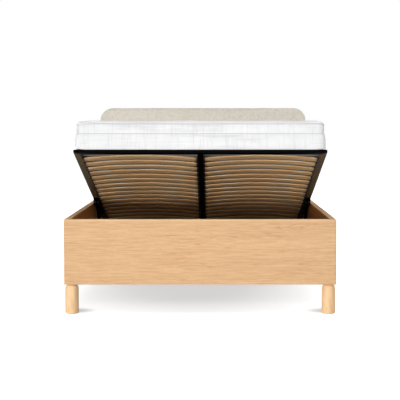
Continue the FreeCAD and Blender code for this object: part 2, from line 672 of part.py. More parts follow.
def right_side_tube():
    tube = box_section(PLATFORM_LENGTH, TUBE_WIDTH, TUBE_HEIGHT)
    tube.translate(Vector(PLATFORM_X - TUBE_WIDTH / 2, PLATFORM_FOOT_Y, PLATFORM_Z))
    mitre = mitre_prism([(PLATFORM_X, PLATFORM_FOOT_Y), (PLATFORM_X, PLATFORM_HEAD_Y),
                         (SIDE_TUBE_INNER_X, PLATFORM_HEAD_Y - TUBE_WIDTH),
                         (SIDE_TUBE_INNER_X, PLATFORM_FOOT_Y + TUBE_WIDTH)])
    tube = drilled_for_bolts(tube.common(mitre))
    for seat in arm_bolt_seats():
        tube = tube.cut(bore(seat, Z_AXIS, BOLT_DIAMETER, ARM_THICKNESS + TUBE_WALL + CUT_OVERRUN))
    return opened(tube)


def centre_tube():
    tube = box_section(PLATFORM_LENGTH - 2 * TUBE_WIDTH, CENTRE_TUBE_WIDTH, TUBE_HEIGHT)
    tube.translate(Vector(0, PLATFORM_FOOT_Y + TUBE_WIDTH, PLATFORM_Z))
    return opened(tube)


def corner_inserts():
    """Bent bars inside the mitred tube corners, which the domed bolts screw into."""
    inset = TUBE_WALL + INSERT_CLEARANCE
    width = TUBE_WIDTH - 2 * inset
    z0 = PLATFORM_Z + inset
    z1 = PLATFORM_TOP - inset
    x1 = PLATFORM_X - inset
    inserts = []
    for y_edge, inward in ((PLATFORM_FOOT_Y, 1), (PLATFORM_HEAD_Y, -1)):
        near = y_edge + inward * inset
        across = sorted((near, near + inward * width))
        along = sorted((near, near + inward * INSERT_LEG))
        insert = block(x1 - INSERT_LEG, x1, across[0], across[1], z0, z1)
        insert = insert.fuse(block(x1 - width, x1, along[0], along[1], z0, z1)).removeSplitter()
        inserts.append(drilled_for_bolts(insert))
    return [opened(solid) for solid in both_sides(inserts)]


def frame_bolts():
    length = TUBE_HEIGHT - TUBE_WALL - BOLT_END_COVER
    return [opened(bolt(seat, -Z_AXIS, length)) for seat in all_frame_bolt_seats()]


# Slats

def bowed_strip(x0, x1, lift, thickness, y0, y1):
    """Strip that follows the bow of the slats in the right-hand bay, between two x places."""
    def on_bow(x, rise):
        radius = SLAT_RADIUS + rise
        return Vector(x, y0, SLAT_ARC_Z + math.sqrt(radius ** 2 - (x - BAY_X) ** 2))
    middle = (x0 + x1) / 2
    top = lift + thickness
    lower = Part.Arc(on_bow(x0, lift), on_bow(middle, lift), on_bow(x1, lift)).toShape()
    upper = Part.Arc(on_bow(x0, top), on_bow(middle, top), on_bow(x1, top)).toShape()
    ends = [Part.makeLine(on_bow(x, lift), on_bow(x, top)) for x in (x0, x1)]
    face = Part.Face(Part.Wire(Part.__sortEdges__([lower, upper] + ends)))
    return face.extrude(Vector(0, y1 - y0, 0))


def right_slats():
    x0 = CENTRE_TUBE_X + CAP_BACK_WALL + CAP_CLEARANCE
    x1 = SIDE_TUBE_INNER_X - CAP_BACK_WALL - CAP_CLEARANCE
    return [opened(bowed_strip(x0, x1, 0, SLAT_THICKNESS, y, y + SLAT_WIDTH)) for y in SLAT_FEET]


def slat_cap(x_tube, inward, y):
    """Pocket on the side of a tube, open towards the middle of the bay, with a tongue over the slat."""
    x_lip = x_tube + inward * CAP_LIP
    x_back = x_tube + inward * CAP_BACK_WALL
    y0 = y - CAP_WALL
    y1 = y + SLAT_WIDTH + CAP_WALL
    over_slat = SLAT_THICKNESS + CAP_CLEARANCE
    rise = CAP_LIP * BAY_HALF / SLAT_RADIUS
    lip_low, lip_high = sorted((x_tube, x_lip))
    cap = block(lip_low, lip_high, y0, y1, PLATFORM_Z - CAP_WALL, PLATFORM_Z + rise + over_slat)
    tongue_low, tongue_high = sorted((x_tube, x_tube + inward * CAP_LENGTH))
    cap = cap.fuse(bowed_strip(tongue_low, tongue_high, over_slat, CAP_WALL, y0, y1)).removeSplitter()
    pocket_low, pocket_high = sorted((x_back, x_lip + inward * CUT_OVERRUN))
    pocket = bowed_strip(pocket_low, pocket_high, -CAP_CLEARANCE, SLAT_THICKNESS + 2 * CAP_CLEARANCE,
                         y - CAP_CLEARANCE, y + SLAT_WIDTH + CAP_CLEARANCE)
    return cap.cut(pocket)


def right_slat_caps():
    caps = []
    for y in SLAT_FEET:
        caps.append(opened(slat_cap(CENTRE_TUBE_X, 1, y)))
        caps.append(opened(slat_cap(SIDE_TUBE_INNER_X, -1, y)))
    return caps


# Lift arms

def arm_span():
    return STRUT_HEAD_CLOSED.y - ARM_END, PIVOT_Y + ARM_END


def arm_bolt_seats():
    """Bolt heads under the level flange of the right-hand arm."""
    first, last = arm_span()
    x = (ARM_INNER_X + ARM_OUTER_X - ARM_FLANGE) / 2
    lobe = 2 * ARM_LOBE_RADIUS + ARM_END
    places = spread(first + lobe, last - lobe, ARM_BOLT_COUNT)
    return [Vector(x, y, PLATFORM_Z - ARM_THICKNESS) for y in places]


def right_lift_arm():
    """Steel angle with a level flange under the side tube and lobes for the pivot and the strut stud."""
    first, last = arm_span()
    flange = block(ARM_OUTER_X - ARM_FLANGE, ARM_OUTER_X, first, last, PLATFORM_Z - ARM_THICKNESS, PLATFORM_Z)
    web = block(ARM_INNER_X, ARM_OUTER_X, first, last, PLATFORM_Z - ARM_DEPTH, PLATFORM_Z)
    arm = flange.fuse(web)
    for y in (PIVOT_Y, STRUT_HEAD_CLOSED.y):
        lobe = rod(2 * ARM_LOBE_RADIUS, Vector(ARM_INNER_X, y, PIVOT_Z), Vector(ARM_OUTER_X, y, PIVOT_Z))
        arm = arm.fuse(lobe)
    arm = arm.removeSplitter()
    journal = PIVOT_PIN_DIAMETER + 2 * RUNNING_CLEARANCE
    arm = arm.cut(rod(journal, Vector(ARM_INNER_X - CUT_OVERRUN, PIVOT_Y, PIVOT_Z),
                      Vector(ARM_OUTER_X + CUT_OVERRUN, PIVOT_Y, PIVOT_Z)))
    stud_seat = Vector(ARM_INNER_X, STRUT_HEAD_CLOSED.y, PIVOT_Z)
    arm = arm.cut(bore(stud_seat, X_AXIS, STUD_DIAMETER, ARM_THICKNESS + CUT_OVERRUN))
    for seat in arm_bolt_seats():
        arm = arm.cut(bore(seat, Z_AXIS, BOLT_DIAMETER, ARM_THICKNESS + CUT_OVERRUN))
    return opened(arm)


def lift_arm_bolts():
    length = ARM_THICKNESS + TUBE_HEIGHT / 2
    return [opened(solid) for solid in both_sides([bolt(seat, Z_AXIS, length) for seat in arm_bolt_seats()])]


# Gas struts, along the line from the lower stud to the upper stud

def along_strut(distance):
    return STRUT_FOOT + STRUT_DIRECTION * distance


def strut_eye(distance):
    centre = along_strut(distance)
    return rod(EYE_DIAMETER, centre - X_AXIS * (EYE_WIDTH / 2), centre + X_AXIS * (EYE_WIDTH / 2))


def eye_bore(distance, clearance):
    centre = along_strut(distance)
    return rod(STUD_DIAMETER + 2 * clearance, centre - X_AXIS * EYE_WIDTH, centre + X_AXIS * EYE_WIDTH)


def right_strut_rod():
    """Lower eye, neck, polished rod and the piston at its end inside the cylinder."""
    gland = NECK_LENGTH + ROD_SHOWING
    piston = gland + GLAND_LENGTH + SLIDE_CLEARANCE
    piston_radius = CYLINDER_DIAMETER / 2 - CYLINDER_WALL - SLIDE_CLEARANCE
    neck_radius = NECK_DIAMETER / 2
    rod_radius = ROD_DIAMETER / 2
    outline = [(0, 0), (neck_radius, 0), (neck_radius, NECK_LENGTH), (rod_radius, NECK_LENGTH),
               (rod_radius, piston), (piston_radius, piston), (piston_radius, piston + PISTON_LENGTH),
               (0, piston + PISTON_LENGTH)]
    shaft = turned(outline, STRUT_FOOT, STRUT_DIRECTION)
    return shaft.fuse(strut_eye(0)).removeSplitter().cut(eye_bore(0, RUNNING_CLEARANCE))


def right_strut_cylinder():
    """Cylinder with its gland, bore, closed end, neck and upper eye."""
    gland = NECK_LENGTH + ROD_SHOWING
    end = STRUT_LENGTH - NECK_LENGTH
    outer = CYLINDER_DIAMETER / 2
    inner = outer - CYLINDER_WALL
    passage = ROD_DIAMETER / 2 + SLIDE_CLEARANCE
    outline = [(passage, gland), (outer, gland), (outer, end), (NECK_DIAMETER / 2, end),
               (NECK_DIAMETER / 2, STRUT_LENGTH), (0, STRUT_LENGTH), (0, end - GLAND_LENGTH),
               (inner, end - GLAND_LENGTH), (inner, gland + GLAND_LENGTH), (passage, gland + GLAND_LENGTH)]
    barrel = turned(outline, STRUT_FOOT, STRUT_DIRECTION)
    barrel = barrel.fuse(strut_eye(STRUT_LENGTH)).removeSplitter()
    return barrel.cut(eye_bore(STRUT_LENGTH, UPPER_EYE_CLEARANCE))


# Mattress

def quarter_round(rise, run):
    """Pairs of rise and run round a quarter ellipse, steep at first and level at its end."""
    turns = [math.radians(angle) for angle in ROUNDING_ANGLES]
    return [(rise * math.sin(turn), run * (1 - math.cos(turn))) for turn in turns]


def mattress_sections():
    """Pairs of height above the underside and inset of the outline, from the underside to the crown."""
    seam = MATTRESS_LOWER_BAND
    top_seam = seam + MATTRESS_UPPER_BAND
    depth = MATTRESS_SEAM_DEPTH
    near = MATTRESS_SEAM_ROUND
    swell = MATTRESS_SIDE_SWELL
    upper = MATTRESS_UPPER_INSET
    base = [(MATTRESS_BASE_ROUND - height, swell + inset)
            for height, inset in reversed(quarter_round(MATTRESS_BASE_ROUND, MATTRESS_BASE_ROUND))]
    bands = [((MATTRESS_BASE_ROUND + seam - near) / 2, 0), (seam - near, swell), (seam, depth),
             (seam + near, upper + swell), ((seam + top_seam) / 2, upper), (top_seam - near, upper + swell)]
    edge = [(top_seam + height, depth + inset)
            for height, inset in quarter_round(MATTRESS_TOP_ROUND, MATTRESS_TOP_ROUND)]
    crown = [(top_seam + MATTRESS_TOP_ROUND + height, depth + MATTRESS_TOP_ROUND + inset)
             for height, inset in quarter_round(MATTRESS_CROWN - MATTRESS_TOP_ROUND, MATTRESS_CROWN_RUN)]
    return base + bands + edge + crown[1:]


def mattress():
    """Banded mattress with swelling sides and a crowned top. Its underside is hollowed where the bowed
    slats lift it and dented by the heads of the frame bolts."""
    x = MATTRESS_WIDTH / 2
    y0 = PLATFORM_FOOT_Y + PLATFORM_END_RIM
    y1 = y0 + MATTRESS_LENGTH
    wires = [rounded_rectangle(x - inset, y0 + inset, y1 - inset, PLATFORM_TOP + height, MATTRESS_CORNER)
             for height, inset in mattress_sections()]
    body = Part.makeLoft(wires, True, True)
    rise = SLAT_THICKNESS + MATTRESS_SEAT_CLEARANCE
    half = BAY_HALF - CAP_LENGTH
    seat = bowed_strip(BAY_X - half, BAY_X + half, rise - 2 * SLAT_CROWN, 2 * SLAT_CROWN,
                       SLAT_FEET[0] - CAP_WALL, SLAT_FEET[-1] + SLAT_WIDTH + CAP_WALL)
    for hollow in both_sides([seat]):
        body = body.cut(hollow)
    for head in all_frame_bolt_seats():
        crest = head + Z_AXIS * (BOLT_HEAD_HEIGHT + MATTRESS_SEAT_CLEARANCE)
        room = BOLT_HEAD_DIAMETER + 2 * MATTRESS_SEAT_CLEARANCE
        body = body.cut(rod(room, head - Z_AXIS * CUT_OVERRUN, crest))
    return opened(body)


# Headboard

def round_upper_corners(board, radius):
    """Round the two upper corners of an upright board that faces the foot of the bed."""
    middle = board.CenterOfMass.z
    upper = [edge for edge in board.Edges
             if abs(edge.tangentAt(edge.FirstParameter).dot(Y_AXIS)) > 0.999 and edge.BoundBox.ZMin > middle]
    return board.makeFillet(radius, upper)


def frame_outline():
    """Timber outline with rounded upper corners, extruded to the frame's thickness."""
    board = block(-FRAME_X, FRAME_X, BASE_HEAD_Y, FRAME_BACK_Y, HEADBOARD_FOOT_Z, FRAME_TOP)
    return round_upper_corners(board, HEADBOARD_CORNER - PADDING_EDGE)


def headboard_bolt_seats():
    x = INNER_X - max(BLOCK_SIZE, BRACKET_LEG) - BOLT_HEAD_DIAMETER
    heights = (HEADBOARD_FOOT_Z + HEADBOARD_MEMBER, BASE_TOP - HEADBOARD_MEMBER)
    return [Vector(side * x, INNER_HEAD_Y, z) for z in heights for side in (-1, 1)]


def headboard_frame():
    frame = frame_outline()
    inner_x = FRAME_X - HEADBOARD_MEMBER
    y0 = BASE_HEAD_Y - CUT_OVERRUN
    y1 = FRAME_BACK_Y + CUT_OVERRUN
    rail_low = BASE_TOP - HEADBOARD_MEMBER / 2
    rail_high = BASE_TOP + HEADBOARD_MEMBER / 2
    frame = frame.cut(block(-inner_x, inner_x, y0, y1, HEADBOARD_FOOT_Z + HEADBOARD_MEMBER, rail_low))
    for side in (-1, 1):
        x0, x1 = sorted((side * HEADBOARD_STILE / 2, side * inner_x))
        frame = frame.cut(block(x0, x1, y0, y1, rail_high, FRAME_TOP - HEADBOARD_MEMBER))
    for seat in headboard_bolt_seats():
        depth = HEAD_PANEL_THICKNESS + HEADBOARD_FRAME_THICKNESS + CUT_OVERRUN
        frame = frame.cut(bore(seat, Y_AXIS, BOLT_DIAMETER, depth))
    return frame


def padding_sections():
    """Pairs of distance behind the front and inset of the outline: crowned front, soft edge, back edge."""
    depth = FRAME_BACK_Y + BACK_BOARD_THICKNESS - PADDING_FRONT_Y
    sections = [(0, PADDING_CROWN_RUN)]
    for along, run in reversed(quarter_round(PADDING_ROUND_DEPTH, PADDING_ROUND_WIDTH)):
        fall = PADDING_CROWN * (1 - run / PADDING_CROWN_RUN) ** 2
        sections.append((PADDING_ROUND_DEPTH - along + fall, run))
    return sections + [(depth - PADDING_BACK_ROUND, 0), (depth, PADDING_BACK_ROUND)]


def headboard_padding():
    """Padded cover: crowned front, soft rounded edges and returns over the edges of the frame."""
    wires = [headboard_outline(PADDING_FRONT_Y + along, inset) for along, inset in padding_sections()]
    cover = Part.makeLoft(wires, True, True)
    room = frame_outline().makeOffsetShape(PADDING_CLEARANCE, 0.01, join=2)
    behind = FRAME_BACK_Y + BACK_BOARD_THICKNESS + CUT_OVERRUN
    inset = BACK_BOARD_INSET + PADDING_BACK_ROUND
    opening = block(-FRAME_X + inset, FRAME_X - inset, FRAME_BACK_Y, behind, PADDING_Z - CUT_OVERRUN,
                    FRAME_TOP - inset)
    return cover.cut(room).cut(round_upper_corners(opening, HEADBOARD_CORNER - PADDING_EDGE - inset))


def headboard_back_board():
    inset = BACK_BOARD_INSET + PADDING_BACK_ROUND + PADDING_CLEARANCE
    board = block(-FRAME_X + inset, FRAME_X - inset, FRAME_BACK_Y, FRAME_BACK_Y + BACK_BOARD_THICKNESS,
                  HEADBOARD_FOOT_Z + BACK_BOARD_INSET, FRAME_TOP - inset)
    return round_upper_corners(board, HEADBOARD_CORNER - PADDING_EDGE - inset)


def headboard_bolts():
    length = HEAD_PANEL_THICKNESS + HEADBOARD_FRAME_THICKNESS - BOLT_END_COVER
    return [bolt(seat, Y_AXIS, length) for seat in headboard_bolt_seats()]


# All pieces by name

def all_pieces():
    pieces = {
        "foot_panel": foot_panel(),
        "head_panel": head_panel(),
        "corner_blocks": corner_blocks(),
        "leg_bolts": leg_bolts(),
        "foot_glides": foot_glides(),
        "corner_brackets": corner_brackets(),
        "bracket_screws": bracket_screws(),
        "foot_floor_batten": end_floor_batten(INNER_FOOT_Y, INNER_FOOT_Y + BATTEN_WIDTH),
        "head_floor_batten": end_floor_batten(INNER_HEAD_Y - BATTEN_WIDTH, INNER_HEAD_Y),
        "centre_bearer": centre_bearer(),
        "centre_feet": centre_feet(),
        "foot_rest_ledge": foot_rest_ledge(),
        "rest_bumpers": rest_bumpers(),
        "hinge_plate_screws": hinge_plate_screws(),
        "pivot_pins": pivot_pins(),
        "lower_strut_studs": lower_strut_studs(),
        "headboard_frame": headboard_frame(),
        "headboard_padding": headboard_padding(),
        "headboard_back_board": headboard_back_board(),
        "headboard_bolts": headboard_bolts(),
        "foot_tube": end_tube(PLATFORM_FOOT_Y, 1),
        "head_tube": end_tube(PLATFORM_HEAD_Y, -1),
        "centre_tube": centre_tube(),
        "corner_inserts": corner_inserts(),
        "frame_bolts": frame_bolts(),
        "lift_arm_bolts": lift_arm_bolts(),
        "upper_strut_studs": upper_strut_studs(),
        "mattress": mattress(),
    }
    leg_names = ("foot_left_leg", "foot_right_leg", "head_left_leg", "head_right_leg")
    for name, place in zip(leg_names, leg_places()):
        pieces[name] = leg(*place)
    for index, name in enumerate(("foot_floor_board", "middle_floor_board", "head_floor_board")):
        pieces[name] = floor_board(index)
    handed = {
        "side_panel": right_side_panel(),
        "floor_batten": right_floor_batten(),
        "rest_ledge": right_rest_ledge(),
        "hinge_plate": right_hinge_plate(),
        "side_tube": right_side_tube(),
        "lift_arm": right_lift_arm(),
        "strut_rod": right_strut_rod(),
        "strut_cylinder": right_strut_cylinder(),
    }
    for name, solid in handed.items():
        pieces["right_" + name] = solid
        pieces["left_" + name] = mirrored(solid)
    for name, solids in (("slats", right_slats()), ("slat_caps", right_slat_caps())):
        pieces["right_" + name] = solids
        pieces["left_" + name] = [mirrored(solid) for solid in solids]
    return pieces


os.makedirs("parts", exist_ok=True)
for piece_name, piece in all_pieces().items():
    shape = Part.makeCompound(piece) if isinstance(piece, list) else piece
    shape.exportStep("parts/" + piece_name + ".step")
    if not shape.isValid():
        print("not valid:", piece_name)
print("strut open length", round(STRUT_LENGTH, 2), "slats in each bay", SLAT_COUNT)
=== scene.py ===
import json
import math

import bpy
import numpy as np
from mathutils import Matrix, Vector, noise


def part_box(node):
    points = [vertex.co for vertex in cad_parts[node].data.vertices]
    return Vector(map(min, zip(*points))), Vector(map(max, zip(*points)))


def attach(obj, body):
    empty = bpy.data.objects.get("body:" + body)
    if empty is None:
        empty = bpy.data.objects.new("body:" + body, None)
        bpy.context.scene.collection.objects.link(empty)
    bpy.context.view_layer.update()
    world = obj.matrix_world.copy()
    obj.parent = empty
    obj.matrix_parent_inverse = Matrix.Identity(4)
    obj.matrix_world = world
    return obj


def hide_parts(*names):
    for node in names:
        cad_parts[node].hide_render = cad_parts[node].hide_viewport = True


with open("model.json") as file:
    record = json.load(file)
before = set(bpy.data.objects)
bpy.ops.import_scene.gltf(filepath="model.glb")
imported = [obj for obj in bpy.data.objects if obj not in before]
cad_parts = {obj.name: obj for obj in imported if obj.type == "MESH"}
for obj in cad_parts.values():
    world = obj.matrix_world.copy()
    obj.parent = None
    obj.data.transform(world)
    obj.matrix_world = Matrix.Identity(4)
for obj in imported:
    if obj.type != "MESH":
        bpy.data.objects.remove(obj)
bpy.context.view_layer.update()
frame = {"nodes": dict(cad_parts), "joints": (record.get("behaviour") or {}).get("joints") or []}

# Storage bed, open: oak base on round legs, steel platform with bowed slats, banded mattress,
# padded headboard. Metres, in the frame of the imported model: foot at -Y, floor at z = 0.

# Mattress
LOWER_BAND = 0.104
UPPER_BAND = 0.061
UPPER_BAND_INSET = 0.005
MATTRESS_CORNER = 0.030
SIDE_SWELL = 0.002
SEAM_DEPTH = 0.008
SEAM_BELOW = 0.011
SEAM_ABOVE = 0.018
BASE_ROUND = 0.006
TOP_ROUND = 0.026
TOP_ROUND_RUN = 0.020
CROWN_RUN = 0.300
QUILT_STEPS = 8
QUILT_RISE = 0.010
QUILT_MARGIN = 0.100
QUILT_RUN = 0.060
SEAT_CLEARANCE = 0.001
BOLT_ROOM = 0.003
PIPING_RADIUS = 0.0026
PIPING_PROUD_SHARE = 0.4
PIPING_SIDES = 8
TICKING_SPACING = 0.030
TICKING_UNEVENNESS = 0.0022
TICKING_WAVE = 0.16
TICKING_SEED = 3.1
LOWER_BAND_STEPS = 6
UPPER_BAND_STEPS = 4
SAME_HEIGHT = 1e-6

# How a seam draws the cover in: shares of its reach below or above it, and of its depth there
SEAM_DRAW_BELOW = ((-1, 0), (-0.6, 0.12), (-0.25, 0.55))
SEAM_DRAW_ABOVE = ((0.25, 0.6), (0.6, 0.16), (1, 0))

# Headboard padding, and the staples of the lining on its back
HEADBOARD_CORNER = 0.095
HEADBOARD_LOWER_CORNER = 0.022
PAD_EDGE = 0.018
PAD_CROWN = 0.008
PAD_CROWN_RUN = 0.160
PAD_ROUND_WIDTH = 0.050
PAD_ROUND_DEPTH = 0.026
PAD_BACK_ROUND = 0.009
PAD_SPACING = 0.018
PAD_CLEARANCE = 0.0004
PAD_UNEVENNESS = 0.0016
PAD_WAVE = 0.12
PAD_SEED = 7.3
STAPLE_LENGTH = 0.012
STAPLE_RADIUS = 0.0009
STAPLE_PITCH = 0.040
STAPLE_INSET = 0.010
STAPLE_SIDES = 8
STAPLE_END_ANGLE = 84
STAPLE_END_STEPS = 3

# Slats, legs and the faces of the panels
SLAT_WIDTH = 0.063
SLAT_THICKNESS = 0.008
SLAT_PITCH = 0.109
SLAT_EDGE_ROUND = 0.0028
SLAT_EDGE_STEPS = 4
SLAT_STEPS = 28
LEG_SHOULDER = 0.028
LEG_SHOULDER_STEPS = 10
LEG_FOOT_ROUND = 0.003
LEG_FOOT_STEPS = 4
LEG_RING_SHARES = (0.2, 0.4, 0.6, 0.8)
LEG_END_RADIUS = 0.004
LEG_SIDES = 72
LIPPING = 0.0135
LIPPING_EDGE = 0.0004
LIPPING_LINE = 0.0024
INNER_FACE_EDGE = (0.0004, 0.0012)

# Bolts and screws
RIM_SHARE = 0.35
SOCKET_SHARE = 0.34
CROSS_SHARE = 0.52
CROSS_ARM_SHARE = 0.30
RECESS_DEPTH_SHARE = 0.6
RECESS_CENTRE_SHARE = 0.05
RECESS_FLOOR_SHARE = 0.93
RECESS_LIP_SHARE = 1.05
RECESS_LIP = 0.0003
DOME_START_SHARE = 1.22
DOME_SHARES = (0, 0.3, 0.6, 0.85, 1)
HEAD_CHAMFER = 0.0004
HEAD_SEAT_SHARE = 0.97
TIP_CHAMFER = 0.0008
TIP_SHARES = (0.8, 0.1)
FASTENER_SIDES = 48
RIM_FROM_SHARE = 0.99
SAME_PLACE = 1e-5
SAME_PLACE_DIGITS = 5
SMALLEST_SINE = 1e-6

# Cloth
CLOTH_FRAMES = 20
CLOTH_PRESSURE = 4.0
CLOTH_QUALITY = 4
CLOTH_STIFFNESS = 12.0
CLOTH_BENDING = 2.0
MATTRESS_SWELL_CAP = 0.006
PAD_SWELL_CAP = 0.006
SMALLEST_MOVE = 1e-9
WOBBLE_START = (1.0, 1.7, 0.6)
SMOOTH_LEVELS = 1

# Steps round a quarter of a soft edge and across a rounded corner
EDGE_STEPS = 5
CORNER_STEPS = 6

# Camera, fitted to the photograph's 400 x 400 frame
CAMERA_PLACE = (0.0696, -7.3627, 1.1272)
CAMERA_PITCH = 2.414
CAMERA_LENS = 96.79
CAMERA_SENSOR = 36.0
CAMERA_REACH = 200.0
CAMERA_SHIFT = (-0.03, -0.08)


def platform_opening():
    """The turn that takes the closed platform to the open stop where it rests."""
    lift = next(joint for joint in frame["joints"] if joint["name"] == "platform_lift")
    pivot = Vector(lift["pos_m"])
    turn = Matrix.Rotation(math.radians(-lift["range_deg"][1]), 4, Vector(lift["axis"]))
    return Matrix.Translation(pivot) @ turn @ Matrix.Translation(-pivot)


OPENING = platform_opening()


def node_points(node, matrix):
    """A node's points, taken back through the turn that brought it to where it rests."""
    back = matrix.inverted()
    return np.array([back @ vertex.co for vertex in frame["nodes"][node].data.vertices])


def closed_box(node):
    """Lowest and highest corner of a platform node as it lies when the platform is closed."""
    points = node_points(node, OPENING)
    return Vector(points.min(0)), Vector(points.max(0))


# Shader kit

def tint(red, green, blue):
    """Linear colour from 0 to 255 values as the eye sees them."""
    shares = [value / 255 for value in (red, green, blue)]
    linear = [s / 12.92 if s <= 0.04045 else ((s + 0.055) / 1.055) ** 2.4 for s in shares]
    return (*linear, 1.0)


def even(rate):
    """The same rate along every axis."""
    return (rate, rate, rate)


def pick(sockets, key):
    """A node's socket by number, identifier or name."""
    if isinstance(key, int):
        return sockets[key]
    by_identifier = [socket for socket in sockets if socket.identifier == key]
    return by_identifier[0] if by_identifier else sockets[key]


class Wire:
    """A shader value in a Python expression: its operators add Math nodes."""

    def __init__(self, tree, socket):
        self.tree = tree
        self.socket = socket

    def maths(self, operation, first, second=0.0):
        return self.tree.node("ShaderNodeMath", {"operation": operation}, {0: first, 1: second})

    def __add__(self, other):
        return self.maths("ADD", self, other)

    def __radd__(self, other):
        return self.maths("ADD", other, self)

    def __sub__(self, other):
        return self.maths("SUBTRACT", self, other)

    def __rsub__(self, other):
        return self.maths("SUBTRACT", other, self)

    def __mul__(self, other):
        return self.maths("MULTIPLY", self, other)

    def __rmul__(self, other):
        return self.maths("MULTIPLY", other, self)

    def __abs__(self):
        return self.maths("ABSOLUTE", self)

    def sine(self):
        return self.maths("SINE", self)

    def step(self, low, high):
        """Smooth rise from 0 at low to 1 at high."""
        return self.tree.node("ShaderNodeMapRange", {"interpolation_type": "SMOOTHSTEP"},
                              {"Value": self, "From Min": low, "From Max": high}, "Result")


class Tree:
    """A shader's nodes, which expressions on wires add to."""

    def __init__(self, nodes):
        self.nodes = nodes

    def node(self, kind, settings, sockets, out=0):
        made = self.nodes.nodes.new(kind)
        for name, value in settings.items():
            setattr(made, name, value)
        for key, value in sockets.items():
            self.set(pick(made.inputs, key), value)
        return Wire(self, pick(made.outputs, out))

    def set(self, socket, value):
        if isinstance(value, Wire):
            self.nodes.links.new(value.socket, socket)
        else:
            socket.default_value = value

    def blend(self, share, first, second, kind="MIX"):
        return self.node("ShaderNodeMix", {"data_type": "RGBA", "blend_type": kind},
                         {"Factor_Float": share, "A_Color": first, "B_Color": second}, "Result_Color")

    def seen_directly(self):
        """1 for what the camera, a mirror or clear glass shows, 0 for light that a surface gathers."""
        rays = [self.node("ShaderNodeLightPath", {}, {}, name)
                for name in ("Is Camera Ray", "Is Glossy Ray", "Is Transmission Ray")]
        return (rays[0] + rays[1] + rays[2]).step(0.0, 1.0)


class Finish(Tree):
    """One material: a Principled shader and the nodes that feed it."""

    def __init__(self, name, constants):
        self.material = bpy.data.materials.new(name)
        self.material.use_nodes = True
        super().__init__(self.material.node_tree)
        self.shader = self.nodes.nodes["Principled BSDF"]
        for socket, value in constants.items():
            self.feed(socket, value)
        self.place = self.node("ShaderNodeTexCoord", {}, {}, "Object")

    def feed(self, socket, value):
        self.set(self.shader.inputs[socket], value)

    def vector(self, operation, first, second):
        return self.node("ShaderNodeVectorMath", {"operation": operation}, {0: first, 1: second})

    def axis(self, name):
        """The place on the piece along X, Y or Z."""
        return self.node("ShaderNodeSeparateXYZ", {}, {0: self.place}, name)

    def noise(self, per_metre, detail=2.0, roughness=0.5, place=None, out="Fac"):
        stretched = self.vector("MULTIPLY", place or self.place, per_metre)
        return self.node("ShaderNodeTexNoise", {},
                         {"Vector": stretched, "Scale": 1.0, "Detail": detail, "Roughness": roughness}, out)

    def cells(self, per_metre, feature="F1", out="Distance"):
        stretched = self.vector("MULTIPLY", self.place, per_metre)
        return self.node("ShaderNodeTexVoronoi", {"feature": feature},
                         {"Vector": stretched, "Scale": 1.0}, out)

    def bump(self, height, distance, strength):
        sockets = {"Height": height, "Distance": distance, "Strength": strength}
        self.feed("Normal", self.node("ShaderNodeBump", {}, sockets, "Normal"))


# Finishes

# Noise of the grain per metre, across it and along it
GRAIN = {"sway": (1.6, 0.7), "bands": (22, 0.7), "streaks": (150, 7.0), "flecks": (200, 13),
         "pores": (640, 26), "growth": (7.5, 0.8), "patches": (7, 1.6)}
GRAIN_SWAY = 0.05


def wood(name, along, timber, lipping_top=None, inner_face=None):
    """Sawn timber: faint bands, short streaks and dashed pores along the grain. A lipping is a paler solid
    strip along the top edge, above a fine joint line. An inner face, given as its axis and its distance
    from the middle of the bed, is darkened with painted shade."""
    finish = Finish(name, {"Specular IOR Level": timber["gloss"]})

    def stretched(across, lengthwise):
        return [lengthwise if axis == along else across for axis in "xyz"]

    sway = finish.noise(stretched(*GRAIN["sway"]), 2.0, out="Color")
    drift = finish.vector("MULTIPLY", sway, stretched(GRAIN_SWAY, 0.0))
    bent = finish.vector("ADD", finish.place, drift)
    bands = finish.noise(stretched(*GRAIN["bands"]), 2.0, 0.5, bent)
    streaks = finish.noise(stretched(*GRAIN["streaks"]), 4.0, 0.65, bent)
    flecks = finish.noise(stretched(*GRAIN["flecks"]), 2.0, 0.6, bent)
    pores = finish.noise(stretched(*GRAIN["pores"]), 1.0, 0.5, bent)
    growth = finish.noise(stretched(*GRAIN["growth"]), 2.0, 0.5)
    flames = 1 - abs((70 * growth + 1.2 * flecks).sine()).step(0.1, 0.6)
    patches = finish.noise(stretched(*GRAIN["patches"]), 1.0).step(0.5, 0.66)
    grain = 0.22 * bands + 0.78 * streaks
    colour = finish.blend(grain.step(0.34, 0.66), timber["dark"], timber["light"])
    marks = 0.4 * flecks.step(0.56, 0.74) + 0.6 * flames * patches * flecks.step(0.4, 0.62)
    dashes = marks * timber["figure"]
    colour = finish.blend(dashes * 0.75, colour, timber["pore"])
    pricks = pores.step(0.6, 0.72) * timber["figure"]
    colour = finish.blend(pricks * 0.35, colour, timber["pore"])
    if lipping_top:
        joint = lipping_top - LIPPING
        height = finish.axis("Z")
        strip = height.step(joint - LIPPING_EDGE, joint + LIPPING_EDGE)
        line = strip * (1 - height.step(joint + LIPPING_EDGE, joint + LIPPING_LINE))
        colour = finish.blend(strip * 0.4, colour, timber["lipping"])
        colour = finish.blend(line * 0.55, colour, timber["pore"])
    # Painted shade: the inner faces are multiplied darker by the inner-face colour.
    if inner_face:
        axis, place = inner_face
        inside = 1 - abs(finish.axis(axis)).step(*[place + edge for edge in INNER_FACE_EDGE])
        colour = finish.blend(inside, colour, timber["inside"], "MULTIPLY")
    finish.feed("Base Color", colour)
    finish.feed("Roughness", timber["roughness"] + 0.14 * streaks - 0.07)
    finish.bump(0.5 * streaks - 0.5 * pricks - 0.4 * dashes, 0.0006, 0.5)
    return finish.material
